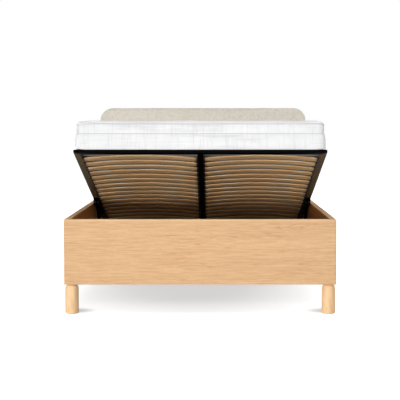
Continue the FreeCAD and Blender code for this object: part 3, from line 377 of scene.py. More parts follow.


# The inner-face colour is painted shade for the inside of the box.
OAK = {"light": tint(228, 191, 146), "dark": tint(212, 169, 128), "pore": tint(188, 136, 98),
       "lipping": tint(244, 208, 163), "inside": tint(196, 162, 128),
       "figure": 1.0, "roughness": 0.64, "gloss": 0.0005}
LEG_OAK = OAK | {"light": tint(249, 212, 166), "dark": tint(239, 198, 152), "figure": 0.5, "gloss": 0.12}
BIRCH = {"light": tint(240, 202, 153), "dark": tint(222, 177, 124), "pore": tint(184, 134, 86),
         "figure": 0.7, "roughness": 0.5, "gloss": 0.12}
PINE = {"light": tint(218, 182, 134), "dark": tint(198, 156, 108), "pore": tint(168, 120, 75),
        "figure": 0.6, "roughness": 0.64, "gloss": 0.2}
FLOOR_VENEER = {"light": tint(126, 100, 74), "dark": tint(104, 80, 57), "pore": tint(80, 58, 40),
                "figure": 0.6, "roughness": 0.6, "gloss": 0.2}


def powder_coat(name, coat, rubbed):
    """Baked powder on steel: fine orange peel, slightly paler rub marks."""
    finish = Finish(name, {"Specular IOR Level": 0.02})
    peel = finish.noise(even(900), 2.0)
    cloud = finish.noise(even(14), 3.0, 0.6)
    rubs = finish.noise((60, 7, 60), 3.0, 0.7).step(0.62, 0.78)
    finish.feed("Base Color", finish.blend(rubs * 0.3, coat, rubbed))
    finish.feed("Roughness", 0.42 + 0.16 * cloud + 0.05 * peel)
    finish.bump(peel, 0.0002, 0.35)
    return finish.material


def zinc_plate():
    """Zinc-plated steel with cloudy passivation and fine brushing."""
    finish = Finish("zinc_plate", {"Metallic": 1.0})
    cloud = finish.noise(even(45), 3.0, 0.6)
    brushed = finish.noise((900, 40, 900), 2.0)
    finish.feed("Base Color", finish.blend(cloud.step(0.3, 0.7), tint(168, 172, 178), tint(204, 205, 200)))
    finish.feed("Roughness", 0.26 + 0.2 * cloud + 0.08 * brushed)
    finish.bump(brushed, 0.0001, 0.3)
    return finish.material


def polished_steel():
    """Hard-chromed rod with a film of oil."""
    finish = Finish("polished_rod", {"Metallic": 1.0})
    film = finish.noise(even(30), 3.0)
    finish.feed("Roughness", 0.09 + 0.1 * film)
    finish.feed("Base Color", finish.blend(film.step(0.4, 0.7), tint(220, 222, 225), tint(196, 198, 202)))
    return finish.material


def blacked_steel():
    """Black-oxide steel, rubbed paler in patches."""
    finish = Finish("blacked_steel", {"Specular IOR Level": 0.5})
    cloud = finish.noise(even(160), 3.0)
    finish.feed("Base Color", finish.blend(cloud.step(0.55, 0.8), tint(17, 17, 18), tint(58, 57, 56)))
    finish.feed("Roughness", 0.28 + 0.2 * cloud)
    return finish.material


def moulded_plastic():
    """Black moulded pockets with a spark-eroded grain."""
    finish = Finish("moulded_plastic", {"Specular IOR Level": 0.4})
    grain = finish.noise(even(1600), 2.0)
    flow = finish.noise(even(25), 2.0)
    finish.feed("Base Color", finish.blend(flow, tint(20, 20, 21), tint(33, 32, 31)))
    finish.feed("Roughness", 0.46 + 0.14 * grain)
    finish.bump(grain, 0.00015, 0.5)
    return finish.material


def rubber():
    """Black rubber with some dust on it."""
    finish = Finish("rubber_pad", {"Specular IOR Level": 0.25})
    dust = finish.noise(even(120), 3.0)
    finish.feed("Base Color", finish.blend(dust.step(0.5, 0.8), tint(34, 33, 32), tint(66, 63, 59)))
    finish.feed("Roughness", 0.72 + 0.16 * dust)
    finish.bump(dust, 0.0002, 0.4)
    return finish.material


def felt():
    """Pressed wool felt: tangled fibres."""
    finish = Finish("felt_glide", {"Sheen Weight": 0.3, "Specular IOR Level": 0.1})
    fibres = finish.noise((1400, 500, 900), 3.0, 0.7)
    colour = finish.blend(fibres.step(0.35, 0.65), tint(176, 162, 142), tint(208, 196, 178))
    finish.feed("Base Color", colour)
    finish.feed("Roughness", 0.85 + 0.1 * fibres)
    finish.bump(fibres, 0.0006, 0.8)
    return finish.material


def boucle():
    """Looped oatmeal cloth: tight yarn loops, fine slubs and a faint mottle."""
    constants = {"Sheen Weight": 0.15, "Sheen Roughness": 0.5, "Specular IOR Level": 0.1}
    finish = Finish("boucle_cloth", constants)
    loops = finish.cells(even(250), "SMOOTH_F1")
    shade = finish.cells(even(250), "F1", "Color")
    yarn = finish.noise(even(900), 2.0)
    slubs = finish.noise((70, 70, 150), 3.0, 0.7)
    mottle = finish.noise((34, 34, 40), 2.0)
    tone = 0.55 * slubs + 0.3 * mottle + 0.15 * (1 - loops)
    colour = finish.blend(tone.step(0.34, 0.66), tint(231, 222, 208), tint(248, 241, 228))
    colour = finish.blend(0.07, colour, shade, "SOFT_LIGHT")
    finish.feed("Base Color", finish.blend(loops.step(0.45, 0.8) * 0.35, colour, tint(178, 166, 149)))
    finish.feed("Roughness", 0.86 + 0.1 * yarn)
    finish.bump(0.8 * (1 - loops) + 0.25 * yarn + 0.2 * slubs, 0.002, 0.6)
    return finish.material


def lining():
    """Dark non-woven lining over the back of the headboard, dimpled by its bonding points."""
    finish = Finish("lining_cloth", {"Sheen Weight": 0.1, "Specular IOR Level": 0.15})
    fibres = finish.noise(even(500), 3.0, 0.7)
    dimples = finish.cells(even(420))
    finish.feed("Base Color", finish.blend(fibres.step(0.3, 0.7), tint(58, 55, 52), tint(88, 84, 79)))
    finish.feed("Roughness", 0.8 + 0.15 * fibres)
    finish.bump(dimples.step(0.1, 0.5), 0.0004, 0.5)
    return finish.material


def ticking(top_seam):
    """White knitted ticking with grey slub threads, which run both ways on every face. Above the top seam,
    given as its height, the cover is painted whiter: painted light on the crown of the mattress."""
    finish = Finish("mattress_ticking", {"Sheen Weight": 0.1, "Specular IOR Level": 0.12})
    threads = [finish.noise(rate, 3.0, 0.6).step(0.52, 0.72)
               for rate in ((120, 2.5, 8), (2.5, 120, 8), (5, 5, 170))]
    slub = threads[0] + threads[1] + threads[2]
    knit = finish.cells(even(420))
    mottle = finish.noise(even(9), 2.0)
    colour = finish.blend(mottle.step(0.3, 0.7), tint(236, 236, 237), tint(241, 241, 241))
    colour = finish.blend(slub * 0.34, colour, tint(204, 204, 205))
    # Painted light: the cover above the top seam is blended whiter.
    crown_painted_light = finish.axis("Z").step(top_seam + PIPING_RADIUS, top_seam + 4 * PIPING_RADIUS)
    finish.feed("Base Color", finish.blend(crown_painted_light * 0.8, colour, tint(250, 250, 250)))
    finish.feed("Roughness", 0.78 + 0.1 * knit)
    finish.bump(0.6 * slub + 0.4 * (1 - knit), 0.0009, 0.5)
    return finish.material


def underside_cloth():
    """Grey non-slip cloth under the mattress, with rows of raised dots."""
    finish = Finish("mattress_underside", {"Specular IOR Level": 0.1})
    dots = ((finish.axis("X") * 700).sine() * (finish.axis("Y") * 700).sine()).step(0.35, 0.75)
    fibres = finish.noise(even(420), 3.0, 0.7)
    colour = finish.blend(fibres.step(0.3, 0.7), tint(140, 138, 138), tint(162, 160, 160))
    finish.feed("Base Color", finish.blend(dots * 0.6, colour, tint(118, 116, 116)))
    finish.feed("Roughness", 0.8 + 0.12 * fibres)
    finish.bump(dots, 0.0008, 0.6)
    return finish.material


def seam_tape():
    """Pale grey twill tape and piping."""
    finish = Finish("seam_tape", {"Sheen Weight": 0.1, "Specular IOR Level": 0.2})
    twill = ((finish.axis("X") + finish.axis("Y")) * 2600 + finish.axis("Z") * 2600).sine()
    soil = finish.noise(even(40), 2.0)
    colour = finish.blend(0.35 * twill + 0.5 * soil, tint(204, 205, 208), tint(224, 225, 227))
    finish.feed("Base Color", colour)
    finish.feed("Roughness", 0.7 + 0.15 * soil)
    finish.bump(twill, 0.0003, 0.6)
    return finish.material


# Mesh kit

def piece(name, points, faces, *materials, marked=()):
    """A new object from points and faces. The marked faces take the last material, the rest the first."""
    mesh = bpy.data.meshes.new(name)
    mesh.from_pydata([tuple(point) for point in points], [], faces)
    for material in materials:
        mesh.materials.append(material)
    mesh.polygons.foreach_set("use_smooth", [True] * len(mesh.polygons))
    for number in marked:
        mesh.polygons[number].material_index = len(materials) - 1
    mesh.update()
    made = bpy.data.objects.new(name, mesh)
    bpy.context.scene.collection.objects.link(made)
    return made


def fit(made, body, slot, *nodes, matrix=None):
    """Set a piece in its place on a body and hide the nodes that it stands for. The slot is not used."""
    if matrix is not None:
        made.matrix_world = matrix
    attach(made, body)
    if nodes:
        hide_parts(*nodes)


def ring_faces(first, second, count):
    """Quads between two closed rows of points, given the number of each row's first point."""
    pairs = [(i, (i + 1) % count) for i in range(count)]
    return [(first + i, first + j, second + j, second + i) for i, j in pairs]


def lathe(profile, steps):
    """Points and faces of a turned solid from (radius, height) pairs, closed at both ends. A radius may
    be a function of the angle."""
    turns = [math.tau * i / steps for i in range(steps)]
    points = []
    for radius, height in profile:
        reach = radius if callable(radius) else lambda turn, size=radius: size
        points += [(reach(turn) * math.cos(turn), reach(turn) * math.sin(turn), height) for turn in turns]
    faces = []
    for row in range(len(profile) - 1):
        faces += ring_faces(row * steps, (row + 1) * steps, steps)
    last = (len(profile) - 1) * steps
    faces.append(tuple(reversed(range(steps))))
    faces.append(tuple(last + i for i in range(steps)))
    return points, faces


def arc_points(centre, radius, start, end, steps):
    """(radius, height) pairs round part of a circle, angles in degrees."""
    angles = [math.radians(start + (end - start) * i / steps) for i in range(steps + 1)]
    return [(centre[0] + radius * math.cos(a), centre[1] + radius * math.sin(a)) for a in angles]


def loop_tube(path, radius, sides):
    """Closed tube along a loop of points."""
    path = np.array(path)
    count = len(path)
    tangents = np.roll(path, -1, 0) - np.roll(path, 1, 0)
    tangents /= np.linalg.norm(tangents, axis=1)[:, None]
    across = np.cross(tangents, (0, 0, 1))
    across /= np.linalg.norm(across, axis=1)[:, None]
    above = np.cross(across, tangents)
    turns = [math.tau * k / sides for k in range(sides)]
    rings = [path + radius * (math.cos(turn) * across + math.sin(turn) * above) for turn in turns]
    faces = []
    for k in range(sides):
        faces += ring_faces(k * count, (k + 1) % sides * count, count)
    return np.concatenate(rings), faces


def grid_lines(half, low_corner, high_corner, spacing):
    """Places of the lines across a pad: close together in its rounded corners and wider between them."""
    low = low_corner - half
    high = half - high_corner
    between = np.linspace(low, high, round((high - low) / spacing) + 1)
    steps = np.arange(1, CORNER_STEPS + 1) / CORNER_STEPS
    return np.concatenate([(low - low_corner * steps)[::-1], between, high + high_corner * steps])


def rounded_grid(half_u, half_v, low_corner, high_corner, spacing):
    """Grid over a rectangle whose two low corners (at -v) and two high corners (at +v) are rounded.
    Returns the points as rows and columns, and the numbers of the edge points in order."""
    wide_corner = max(low_corner, high_corner)
    across = grid_lines(half_u, wide_corner, wide_corner, spacing)
    up = grid_lines(half_v, low_corner, high_corner, spacing)
    grid = np.zeros((len(up), len(across), 2))
    for row, v_line in enumerate(up):
        for column, u_line in enumerate(across):
            u, v = u_line, v_line
            radius = high_corner if v > 0 else low_corner
            s = (abs(u) - half_u + radius) / radius
            t = (abs(v) - half_v + radius) / radius
            if s > 0 and t > 0:
                u = math.copysign(half_u - radius + radius * s * math.sqrt(1 - t * t / 2), u)
                v = math.copysign(half_v - radius + radius * t * math.sqrt(1 - s * s / 2), v)
            grid[row, column] = u, v
    number = np.arange(grid.shape[0] * grid.shape[1]).reshape(grid.shape[:2])
    edge = list(number[0, :-1]) + list(number[:-1, -1]) + list(number[-1, :0:-1]) + list(number[:0:-1, 0])
    return grid, edge


def quarter_round(rise, run):
    """Pairs of rise and run round a quarter ellipse, steep at first and level at its end."""
    turns = [math.pi / 2 * i / EDGE_STEPS for i in range(EDGE_STEPS + 1)]
    return [(rise * math.sin(turn), run * (1 - math.cos(turn))) for turn in turns]


def pad_shell(grid, edge, front, back, rings):
    """Points and faces of a closed pad: its front, its back and the rings of its edge between them.
    The faces come in that order, from the front ring to the back one."""
    rows, columns = grid.shape[:2]
    count = rows * columns
    size = len(edge)
    loops = [list(edge)]
    loops += [list(range(2 * count + i * size, 2 * count + (i + 1) * size)) for i in range(len(rings))]
    loops.append([count + i for i in edge])
    faces = grid_faces(rows, columns, 0) + grid_faces(rows, columns, count, True)
    for near, far in zip(loops, loops[1:]):
        faces += [(near[i], far[i], far[(i + 1) % size], near[(i + 1) % size]) for i in range(size)]
    return np.concatenate([front, back] + rings), faces, loops


def grid_faces(rows, columns, first, flipped=False):
    """Quads of a grid of points, given the number of its first point."""
    faces = []
    for row in range(rows - 1):
        for column in range(columns - 1):
            a = first + row * columns + column
            quad = (a, a + 1, a + columns + 1, a + columns)
            faces.append(tuple(reversed(quad)) if flipped else quad)
    return faces


def wobble(points, held, amount, wavelength, seed):
    """Gentle unevenness of hand-filled padding: a smooth push for each point that isn't held."""
    offset = Vector([seed * share for share in WOBBLE_START])
    free = np.ones(len(points), bool)
    free[held] = False
    pushes = np.array([noise.noise_vector(Vector(point) / wavelength + offset) for point in points])
    points[free] += (pushes * amount)[free]


def swell(made, pinned, cap):
    """Blow a padded piece up as cloth, with the pinned points held, then keep each move under the cap."""
    mesh = made.data
    start = np.zeros(len(mesh.vertices) * 3)
    mesh.vertices.foreach_get("co", start)
    held = made.vertex_groups.new(name="held")
    held.add([int(i) for i in pinned], 1.0, "REPLACE")
    cloth = made.modifiers.new("cloth", "CLOTH")
    settings = cloth.settings
    settings.use_pressure = True
    settings.uniform_pressure_force = CLOTH_PRESSURE
    settings.effector_weights.gravity = 0.0
    settings.vertex_group_mass = held.name
    settings.quality = CLOTH_QUALITY
    settings.tension_stiffness = CLOTH_STIFFNESS
    settings.compression_stiffness = CLOTH_STIFFNESS
    settings.bending_stiffness = CLOTH_BENDING
    cloth.collision_settings.use_collision = False
    cloth.point_cache.frame_start = 1
    cloth.point_cache.frame_end = CLOTH_FRAMES
    scene = bpy.context.scene
    for number in range(1, CLOTH_FRAMES + 1):
        scene.frame_set(number)
    blown = bpy.data.meshes.new_from_object(made.evaluated_get(bpy.context.evaluated_depsgraph_get()))
    end = np.zeros_like(start)
    blown.vertices.foreach_get("co", end)
    made.modifiers.remove(cloth)
    made.vertex_groups.remove(held)
    bpy.data.meshes.remove(blown)
    scene.frame_set(1)
    moves = (end - start).reshape(-1, 3)
    lengths = np.linalg.norm(moves, axis=1)
    moves *= (np.minimum(lengths, cap) / np.maximum(lengths, SMALLEST_MOVE))[:, None]
    mesh.vertices.foreach_set("co", start + moves.ravel())
    mesh.update()


def subdivide(made):
    """Smooth a padded piece."""
    smooth = made.modifiers.new("smooth", "SUBSURF")
    smooth.levels = SMOOTH_LEVELS
    smooth.render_levels = SMOOTH_LEVELS


# Mattress, drawn as it lies when the platform is closed

def bow_radius(low, high):
    """Radius of the underside of bowed slats, from the corners of their box."""
    half = (high.x - low.x) / 2
    rise = high.z - SLAT_THICKNESS - low.z
    return (half * half + rise * rise) / (2 * rise)


def slat_top_above_tube(x):
    """How far the bowed slats stand above the tubes at x."""
    low, high = closed_box("right_slats")
    tube_top = closed_box("centre_tube")[1].z
    radius = bow_radius(low, high)
    across = np.abs(np.abs(x) - (low.x + high.x) / 2)
    bow = np.sqrt(np.maximum(radius * radius - across ** 2, 0)) - radius
    return high.z + bow - tube_top


def band(bottom, height, inset, steps):
    """(height, inset) pairs up a band of the side, which swells between its seams."""
    shares = [(i + 0.5) / steps for i in range(steps)]
    return [(bottom + height * share, inset + SIDE_SWELL * (2 * share - 1) ** 2) for share in shares]


def seam(height, below, above):
    """(height, inset) pairs through a seam that draws the cover in."""
    pairs = [(rise * SEAM_BELOW, below + draw * (SEAM_DEPTH - below)) for rise, draw in SEAM_DRAW_BELOW]
    pairs.append((0, SEAM_DEPTH))
    pairs += [(rise * SEAM_ABOVE, above + draw * (SEAM_DEPTH - above)) for rise, draw in SEAM_DRAW_ABOVE]
    return [(height + rise, inset) for rise, inset in pairs]


def mattress_side():
    """(height, inset) pairs from the edge of the top down to the edge of the underside."""
    top_seam = LOWER_BAND + UPPER_BAND
    edge = [(top_seam + rise, SEAM_DEPTH + run) for rise, run in quarter_round(TOP_ROUND, TOP_ROUND_RUN)]
    upper_height = UPPER_BAND - SEAM_ABOVE - SEAM_BELOW
    upper_band = band(LOWER_BAND + SEAM_ABOVE, upper_height, UPPER_BAND_INSET, UPPER_BAND_STEPS)
    upper_edge = seam(top_seam, UPPER_BAND_INSET + SIDE_SWELL, SEAM_DEPTH)[:len(SEAM_DRAW_BELOW)]
    middle = seam(LOWER_BAND, SIDE_SWELL, UPPER_BAND_INSET + SIDE_SWELL)
    lower_band = band(BASE_ROUND, LOWER_BAND - SEAM_BELOW - BASE_ROUND, 0, LOWER_BAND_STEPS)
    base = [(BASE_ROUND - rise, SIDE_SWELL + run) for rise, run in quarter_round(BASE_ROUND, BASE_ROUND)]
    upwards = base[::-1] + lower_band + middle + upper_band + upper_edge + edge
    return upwards[::-1]


def lift_over_bolts(points):
    """Raise what lies on the domed heads of the frame bolts."""
    for solid in separate_solids("frame_bolts", OPENING):
        low, high = solid.min(0), solid.max(0)
        room = (high[0] - low[0]) / 2 + BOLT_ROOM
        near = np.linalg.norm(points[:, :2] - (low + high)[:2] / 2, axis=1) < room
        points[near, 2] = np.maximum(points[near, 2], high[2] + SEAT_CLEARANCE)


def mattress():
    """Cover with swelling bands, a quilted top and a cloth underside, and the piping in its seams."""
    low, high = closed_box("mattress")
    middle = np.array([(low.x + high.x) / 2, (low.y + high.y) / 2])
    half = np.array([(high.x - low.x) / 2, (high.y - low.y) / 2])
    grid, edge = rounded_grid(*half, MATTRESS_CORNER, MATTRESS_CORNER, TICKING_SPACING)
    plan = grid.reshape(-1, 2)
    outline = plan[edge]
    side = mattress_side()

    def ring(height, inset):
        flat = outline * (1 - inset / half) + middle
        return np.column_stack([flat, np.full(len(flat), low.z + height)])

    top_height, top_inset = side[0]
    reach = np.minimum(half[0] - np.abs(plan[:, 0]), half[1] - np.abs(plan[:, 1]))
    share = np.clip(1 - reach / CROWN_RUN, 0, 1)
    crown = (high.z - low.z - top_height) * (1 - share ** 2)
    top = np.column_stack([plan * (1 - top_inset / half) + middle, low.z + top_height + crown])
    top[edge, 2] = low.z + top_height
    rows, columns = np.indices(grid.shape[:2])
    lines = ((rows + columns) % QUILT_STEPS == 0) | ((rows - columns) % QUILT_STEPS == 0)
    stitched = lines.ravel() & (reach > QUILT_MARGIN)
    top[:, 2] += np.where(stitched, 0, QUILT_RISE * np.clip((reach - QUILT_MARGIN) / QUILT_RUN, 0, 1))
    seat = np.maximum(slat_top_above_tube(plan[:, 0]) + SEAT_CLEARANCE, 0)
    seat[reach < SLAT_PITCH] = 0
    bottom = np.column_stack([plan * (1 - side[-1][1] / half) + middle, low.z + seat])
    rings = [ring(*level) for level in side[1:-1]]
    points, faces, loops = pad_shell(grid, edge, top, bottom, rings)
    lift_over_bolts(points)

    count = len(plan)
    top_seam = LOWER_BAND + UPPER_BAND
    held = list(range(count, 2 * count)) + list(np.flatnonzero(stitched))
    for loop, (height, _) in zip(loops, side):
        from_seam = min(abs(height - LOWER_BAND), abs(height - top_seam))
        if height < BASE_ROUND or from_seam < SAME_HEIGHT:
            held += loop
    wobble(points, held, TICKING_UNEVENNESS, TICKING_WAVE, TICKING_SEED)
    quads = (grid.shape[0] - 1) * (grid.shape[1] - 1)
    below = list(range(quads, 2 * quads)) + list(range(len(faces) - 2 * len(edge), len(faces)))
    cover = ticking(low.z + top_seam)
    made = piece("mattress_cover", points, faces, cover, underside_cloth(), marked=below)
    swell(made, held, MATTRESS_SWELL_CAP)
    subdivide(made)
    fit(made, "platform", "mattress_cloth", "mattress", matrix=OPENING)

    trim = seam_tape()
    depth = SEAM_DEPTH - PIPING_RADIUS * PIPING_PROUD_SHARE
    for name, height in {"mattress_middle_piping": LOWER_BAND, "mattress_top_piping": top_seam}.items():
        tube, tube_faces = loop_tube(ring(height, depth), PIPING_RADIUS, PIPING_SIDES)
        fit(piece(name, tube, tube_faces, trim), "platform", "mattress_cloth", matrix=OPENING)


# Headboard

def headboard():
    """Padded cover, rounded at its edges and hollow at the back for the frame."""
    low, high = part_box("headboard_padding")
    frame_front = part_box("headboard_frame")[0].y - PAD_CLEARANCE
    half = np.array([(high.x - low.x) / 2, (high.z - low.z) / 2])
    middle = np.array([(low.x + high.x) / 2, (low.z + high.z) / 2])
    depth = high.y - low.y
    grid, edge = rounded_grid(*half, HEADBOARD_LOWER_CORNER, HEADBOARD_CORNER, PAD_SPACING)
    plan = grid.reshape(-1, 2)
    outline = plan[edge]

    def crown_fall(inset):
        return PAD_CROWN * np.clip(1 - inset / PAD_CROWN_RUN, 0, 1) ** 2

    def upright(flat, y):
        return np.column_stack([flat[:, 0] + middle[0], y, flat[:, 1] + middle[1]])

    shoulder = [(PAD_ROUND_DEPTH - rise + crown_fall(run), run)
                for rise, run in quarter_round(PAD_ROUND_DEPTH, PAD_ROUND_WIDTH)][::-1]
    back_start = depth - PAD_BACK_ROUND
    flank = [((shoulder[-1][0] + back_start) / 2, 0)]
    back = [(back_start + rise, run) for rise, run in quarter_round(PAD_BACK_ROUND, PAD_BACK_ROUND)]
    profile = shoulder[1:] + flank + back + [(depth, PAD_EDGE - PAD_CLEARANCE)]

    inset = PAD_ROUND_WIDTH + np.minimum(half[0] - np.abs(plan[:, 0]), half[1] - np.abs(plan[:, 1]))
    front = upright(plan * (1 - PAD_ROUND_WIDTH / half), low.y + crown_fall(inset))
    front[edge, 1] = low.y + shoulder[0][0]
    inner = upright(plan * (1 - PAD_EDGE / half), np.full(len(plan), frame_front))
    at_foot = outline[:, 1] < HEADBOARD_LOWER_CORNER - half[1]
    on_rail = at_foot & (np.abs(outline[:, 0]) < half[0] - PAD_EDGE)
    rings = []
    for along, run in profile:
        y = np.full(len(outline), low.y + along)
        y[on_rail] = np.minimum(y[on_rail], frame_front)
        rings.append(upright(outline * (1 - run / half), y))
    points, faces, loops = pad_shell(grid, edge, front, inner, rings)

    held = list(range(len(plan), 2 * len(plan)))
    for loop in loops[len(shoulder) + 1:-1]:
        held += loop
    wobble(points, held, PAD_UNEVENNESS, PAD_WAVE, PAD_SEED)
    made = piece("headboard_cover", points, faces, boucle())
    swell(made, held, PAD_SWELL_CAP)
    subdivide(made)
    fit(made, "base", "headboard_cloth", "headboard_padding")


def lining_staples():
    """Staples along the edge of the lining on the back of the headboard."""
    low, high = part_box("headboard_back_board")
    half_x = (high.x - low.x) / 2 - STAPLE_INSET
    half_z = (high.z - low.z) / 2 - STAPLE_INSET
    corner = HEADBOARD_CORNER - STAPLE_INSET
    grid, edge = rounded_grid(half_x, half_z, HEADBOARD_LOWER_CORNER, corner, STAPLE_PITCH)
    outline = grid.reshape(-1, 2)[edge + edge[:1]]
    along = np.concatenate([[0], np.cumsum(np.linalg.norm(np.diff(outline, axis=0), axis=1))])
    stops = np.linspace(0, along[-1], round(along[-1] / STAPLE_PITCH), endpoint=False)
    straight = STAPLE_LENGTH / 2 - STAPLE_RADIUS
    wire = arc_points((0, -straight), STAPLE_RADIUS, -STAPLE_END_ANGLE, 0, STAPLE_END_STEPS)
    wire += arc_points((0, straight), STAPLE_RADIUS, 0, STAPLE_END_ANGLE, STAPLE_END_STEPS)
    staple, staple_faces = lathe(wire, STAPLE_SIDES)
    points = []
    faces = []
    for stop in stops:
        ends = [[np.interp(place % along[-1], along, outline[:, axis]) for axis in (0, 1)]
                for place in (stop - straight, stop + straight)]
        middle = np.mean(ends, axis=0)
        lead = Vector((ends[1][0] - ends[0][0], 0, ends[1][1] - ends[0][1])).normalized()
        seat = Vector(((low.x + high.x) / 2 + middle[0], high.y, (low.z + high.z) / 2 + middle[1]))
        aside = lead.cross((0, 1, 0))
        faces += [tuple(i + len(points) for i in face) for face in staple_faces]
        points += [seat + Vector((0, a, 0)) + b * aside + c * lead for a, b, c in staple]
    fit(piece("lining_staples", points, faces, FINISHES["zinc"]), "base", "zinc_steel")


# Slats

def slat_section():
    """Cross-section of a slat as (y, z) pairs, its long edges rounded."""
    near = SLAT_EDGE_ROUND
    far = SLAT_WIDTH - SLAT_EDGE_ROUND
    upper = SLAT_THICKNESS - SLAT_EDGE_ROUND
    section = []
    for y, z, start in ((far, near, -90), (far, upper, 0), (near, upper, 90), (near, near, 180)):
        section += arc_points((y, z), SLAT_EDGE_ROUND, start, start + 90, SLAT_EDGE_STEPS)
    return section


def slats(side):
    """All slats of one bay, bowed upwards between their pockets."""
    node = side + "_slats"
    low, high = closed_box(node)
    radius = bow_radius(low, high)
    centre_z = high.z - SLAT_THICKNESS - radius
    span = math.asin((high.x - low.x) / 2 / radius)
    section = slat_section()
    points = []
    faces = []
    number = round((high.y - low.y - SLAT_WIDTH) / SLAT_PITCH) + 1
    size = len(section)
    for index in range(number):
        start = low.y + index * SLAT_PITCH
        first = len(points)
        for step in range(SLAT_STEPS + 1):
            angle = -span + 2 * span * step / SLAT_STEPS
            for y, z in section:
                arm = radius + z
                points.append(((low.x + high.x) / 2 + arm * math.sin(angle), start + y,
                               centre_z + arm * math.cos(angle)))
        for step in range(SLAT_STEPS):
            faces += ring_faces(first + step * size, first + (step + 1) * size, size)
        faces.append(tuple(first + i for i in reversed(range(size))))
        faces.append(tuple(first + SLAT_STEPS * size + i for i in range(size)))
    made = piece(side + "_bowed_slats", points, faces, FINISHES["slat"])
    fit(made, "platform", "slat_wood", node, matrix=OPENING)


# Legs

def leg(node):
    """Turned leg with a rounded shoulder and a small round at its foot."""
    low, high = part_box(node)
    radius = (high.x - low.x) / 2
    height = high.z - low.z
    foot = (radius - LEG_FOOT_ROUND, LEG_FOOT_ROUND)
    shoulder = (radius - LEG_SHOULDER, height - LEG_SHOULDER)
    profile = [(LEG_END_RADIUS, 0.0)]
    profile += arc_points(foot, LEG_FOOT_ROUND, -90, 0, LEG_FOOT_STEPS)
    profile += [(radius, height * share) for share in LEG_RING_SHARES]
    profile += arc_points(shoulder, LEG_SHOULDER, 0, 90, LEG_SHOULDER_STEPS)
    profile.append((LEG_END_RADIUS, height))
    points, faces = lathe(profile, LEG_SIDES)
    made = piece("turned_" + node, points, faces, FINISHES["leg"])
    seat = Matrix.Translation(((low.x + high.x) / 2, (low.y + high.y) / 2, low.z))
    fit(made, "base", "oak", node, matrix=seat)


# Bolts and screws

def separate_solids(node, matrix):
    """Points of each separate solid of a node."""
    points = node_points(node, matrix)
    _, place = np.unique(np.round(points, SAME_PLACE_DIGITS), axis=0, return_inverse=True)
    place = place.ravel()
    ends = np.array([[place[i] for i in edge.vertices] for edge in frame["nodes"][node].data.edges])
    group = np.arange(place.max() + 1)
    while True:
        lowest = group.copy()
        np.minimum.at(lowest, ends[:, 0], group[ends[:, 1]])
        np.minimum.at(lowest, ends[:, 1], group[ends[:, 0]])
        if (lowest == group).all():
            return [points[group[place] == number] for number in np.unique(group)]
        group = lowest


def socket_outline(size):
    """Six-sided recess: its reach at each angle."""
    return lambda turn: size / math.cos((turn + math.pi / 6) % (math.pi / 3) - math.pi / 6)


def cross_outline(size):
    """Cross recess: its reach at each angle."""
    def reach(turn):
        fold = abs((turn + math.pi / 4) % (math.pi / 2) - math.pi / 4)
        return min(size / math.cos(fold), CROSS_ARM_SHARE * size / max(math.sin(fold), SMALLEST_SINE))
    return reach


def fastener_profile(head_radius, head_height, shank_radius, length, recess, size):
    """(radius, height) pairs from the recess over the domed head and down the shank."""
    dome = head_height * (1 - RIM_SHARE)
    sphere = (head_radius ** 2 + dome ** 2) / (2 * dome)

    def on_dome(radius):
        return sphere - math.sqrt(sphere ** 2 - radius ** 2) - head_height

    floor_level = RECESS_DEPTH_SHARE * head_height - head_height
    profile = [(size * RECESS_CENTRE_SHARE, floor_level), (recess(size * RECESS_FLOOR_SHARE), floor_level)]
    profile.append((recess(size), on_dome(size) + RECESS_LIP))
    profile.append((recess(size * RECESS_LIP_SHARE), on_dome(size)))
    start = size * DOME_START_SHARE
    radii = [start + (head_radius - start) * share for share in DOME_SHARES]
    profile += [(radius, on_dome(radius)) for radius in radii]
    profile += [(head_radius, -HEAD_CHAMFER), (head_radius * HEAD_SEAT_SHARE, 0)]
    profile += [(shank_radius, 0), (shank_radius, length - TIP_CHAMFER)]
    profile += [(shank_radius * share, length) for share in TIP_SHARES]
    return profile


def fasteners(node, body, slot, finish, recess, share, matrix):
    """Domed bolts or screws with a driven recess, each in the place of one of the node's plain ones."""
    points = []
    faces = []
    for solid in separate_solids(node, matrix):
        low, high = solid.min(0), solid.max(0)
        axis = int(np.argmax(high - low))
        across = np.linalg.norm(np.delete(solid - (low + high) / 2, axis, 1), axis=1)
        rim = solid[across > RIM_FROM_SHARE * across.max(), axis]
        head_low = rim.mean() < (low[axis] + high[axis]) / 2
        seat = (low + high) / 2
        seat[axis] = rim.max() if head_low else rim.min()
        ahead = np.zeros(3)
        ahead[axis] = 1 if head_low else -1
        tip = high[axis] if head_low else low[axis]
        crest = low[axis] if head_low else high[axis]
        shank = across[np.abs(solid[:, axis] - tip) < SAME_PLACE].max()
        head = across.max()
        rise = abs(crest - seat[axis])
        length = abs(tip - seat[axis])
        profile = fastener_profile(head, rise, shank, length, recess, share * head)
        made, made_faces = lathe(profile, FASTENER_SIDES)
        aside = np.roll(ahead, 1)
        turned = np.array(made) @ np.array([aside, np.cross(ahead, aside), ahead])
        faces += [tuple(i + len(points) for i in face) for face in made_faces]
        points += list(seat + turned)
    fit(piece("driven_" + node, points, faces, FINISHES[finish]), body, slot, node, matrix=matrix)


def all_fasteners():
    still = Matrix()
    fasteners("frame_bolts", "platform", "black_bolt", "blacked", socket_outline, SOCKET_SHARE, OPENING)
    fasteners("lift_arm_bolts", "platform", "black_bolt", "blacked", socket_outline, SOCKET_SHARE, OPENING)
    fasteners("headboard_bolts", "base", "zinc_steel", "zinc", socket_outline, SOCKET_SHARE, still)
    fasteners("bracket_screws", "base", "zinc_steel", "zinc", cross_outline, CROSS_SHARE, still)
    fasteners("hinge_plate_screws", "base", "zinc_steel", "zinc", cross_outline, CROSS_SHARE, still)


# Finishes by name, and the nodes that show as they are in them

def both(name):
    """A node's name on the left and on the right."""
    return ["left_" + name, "right_" + name]


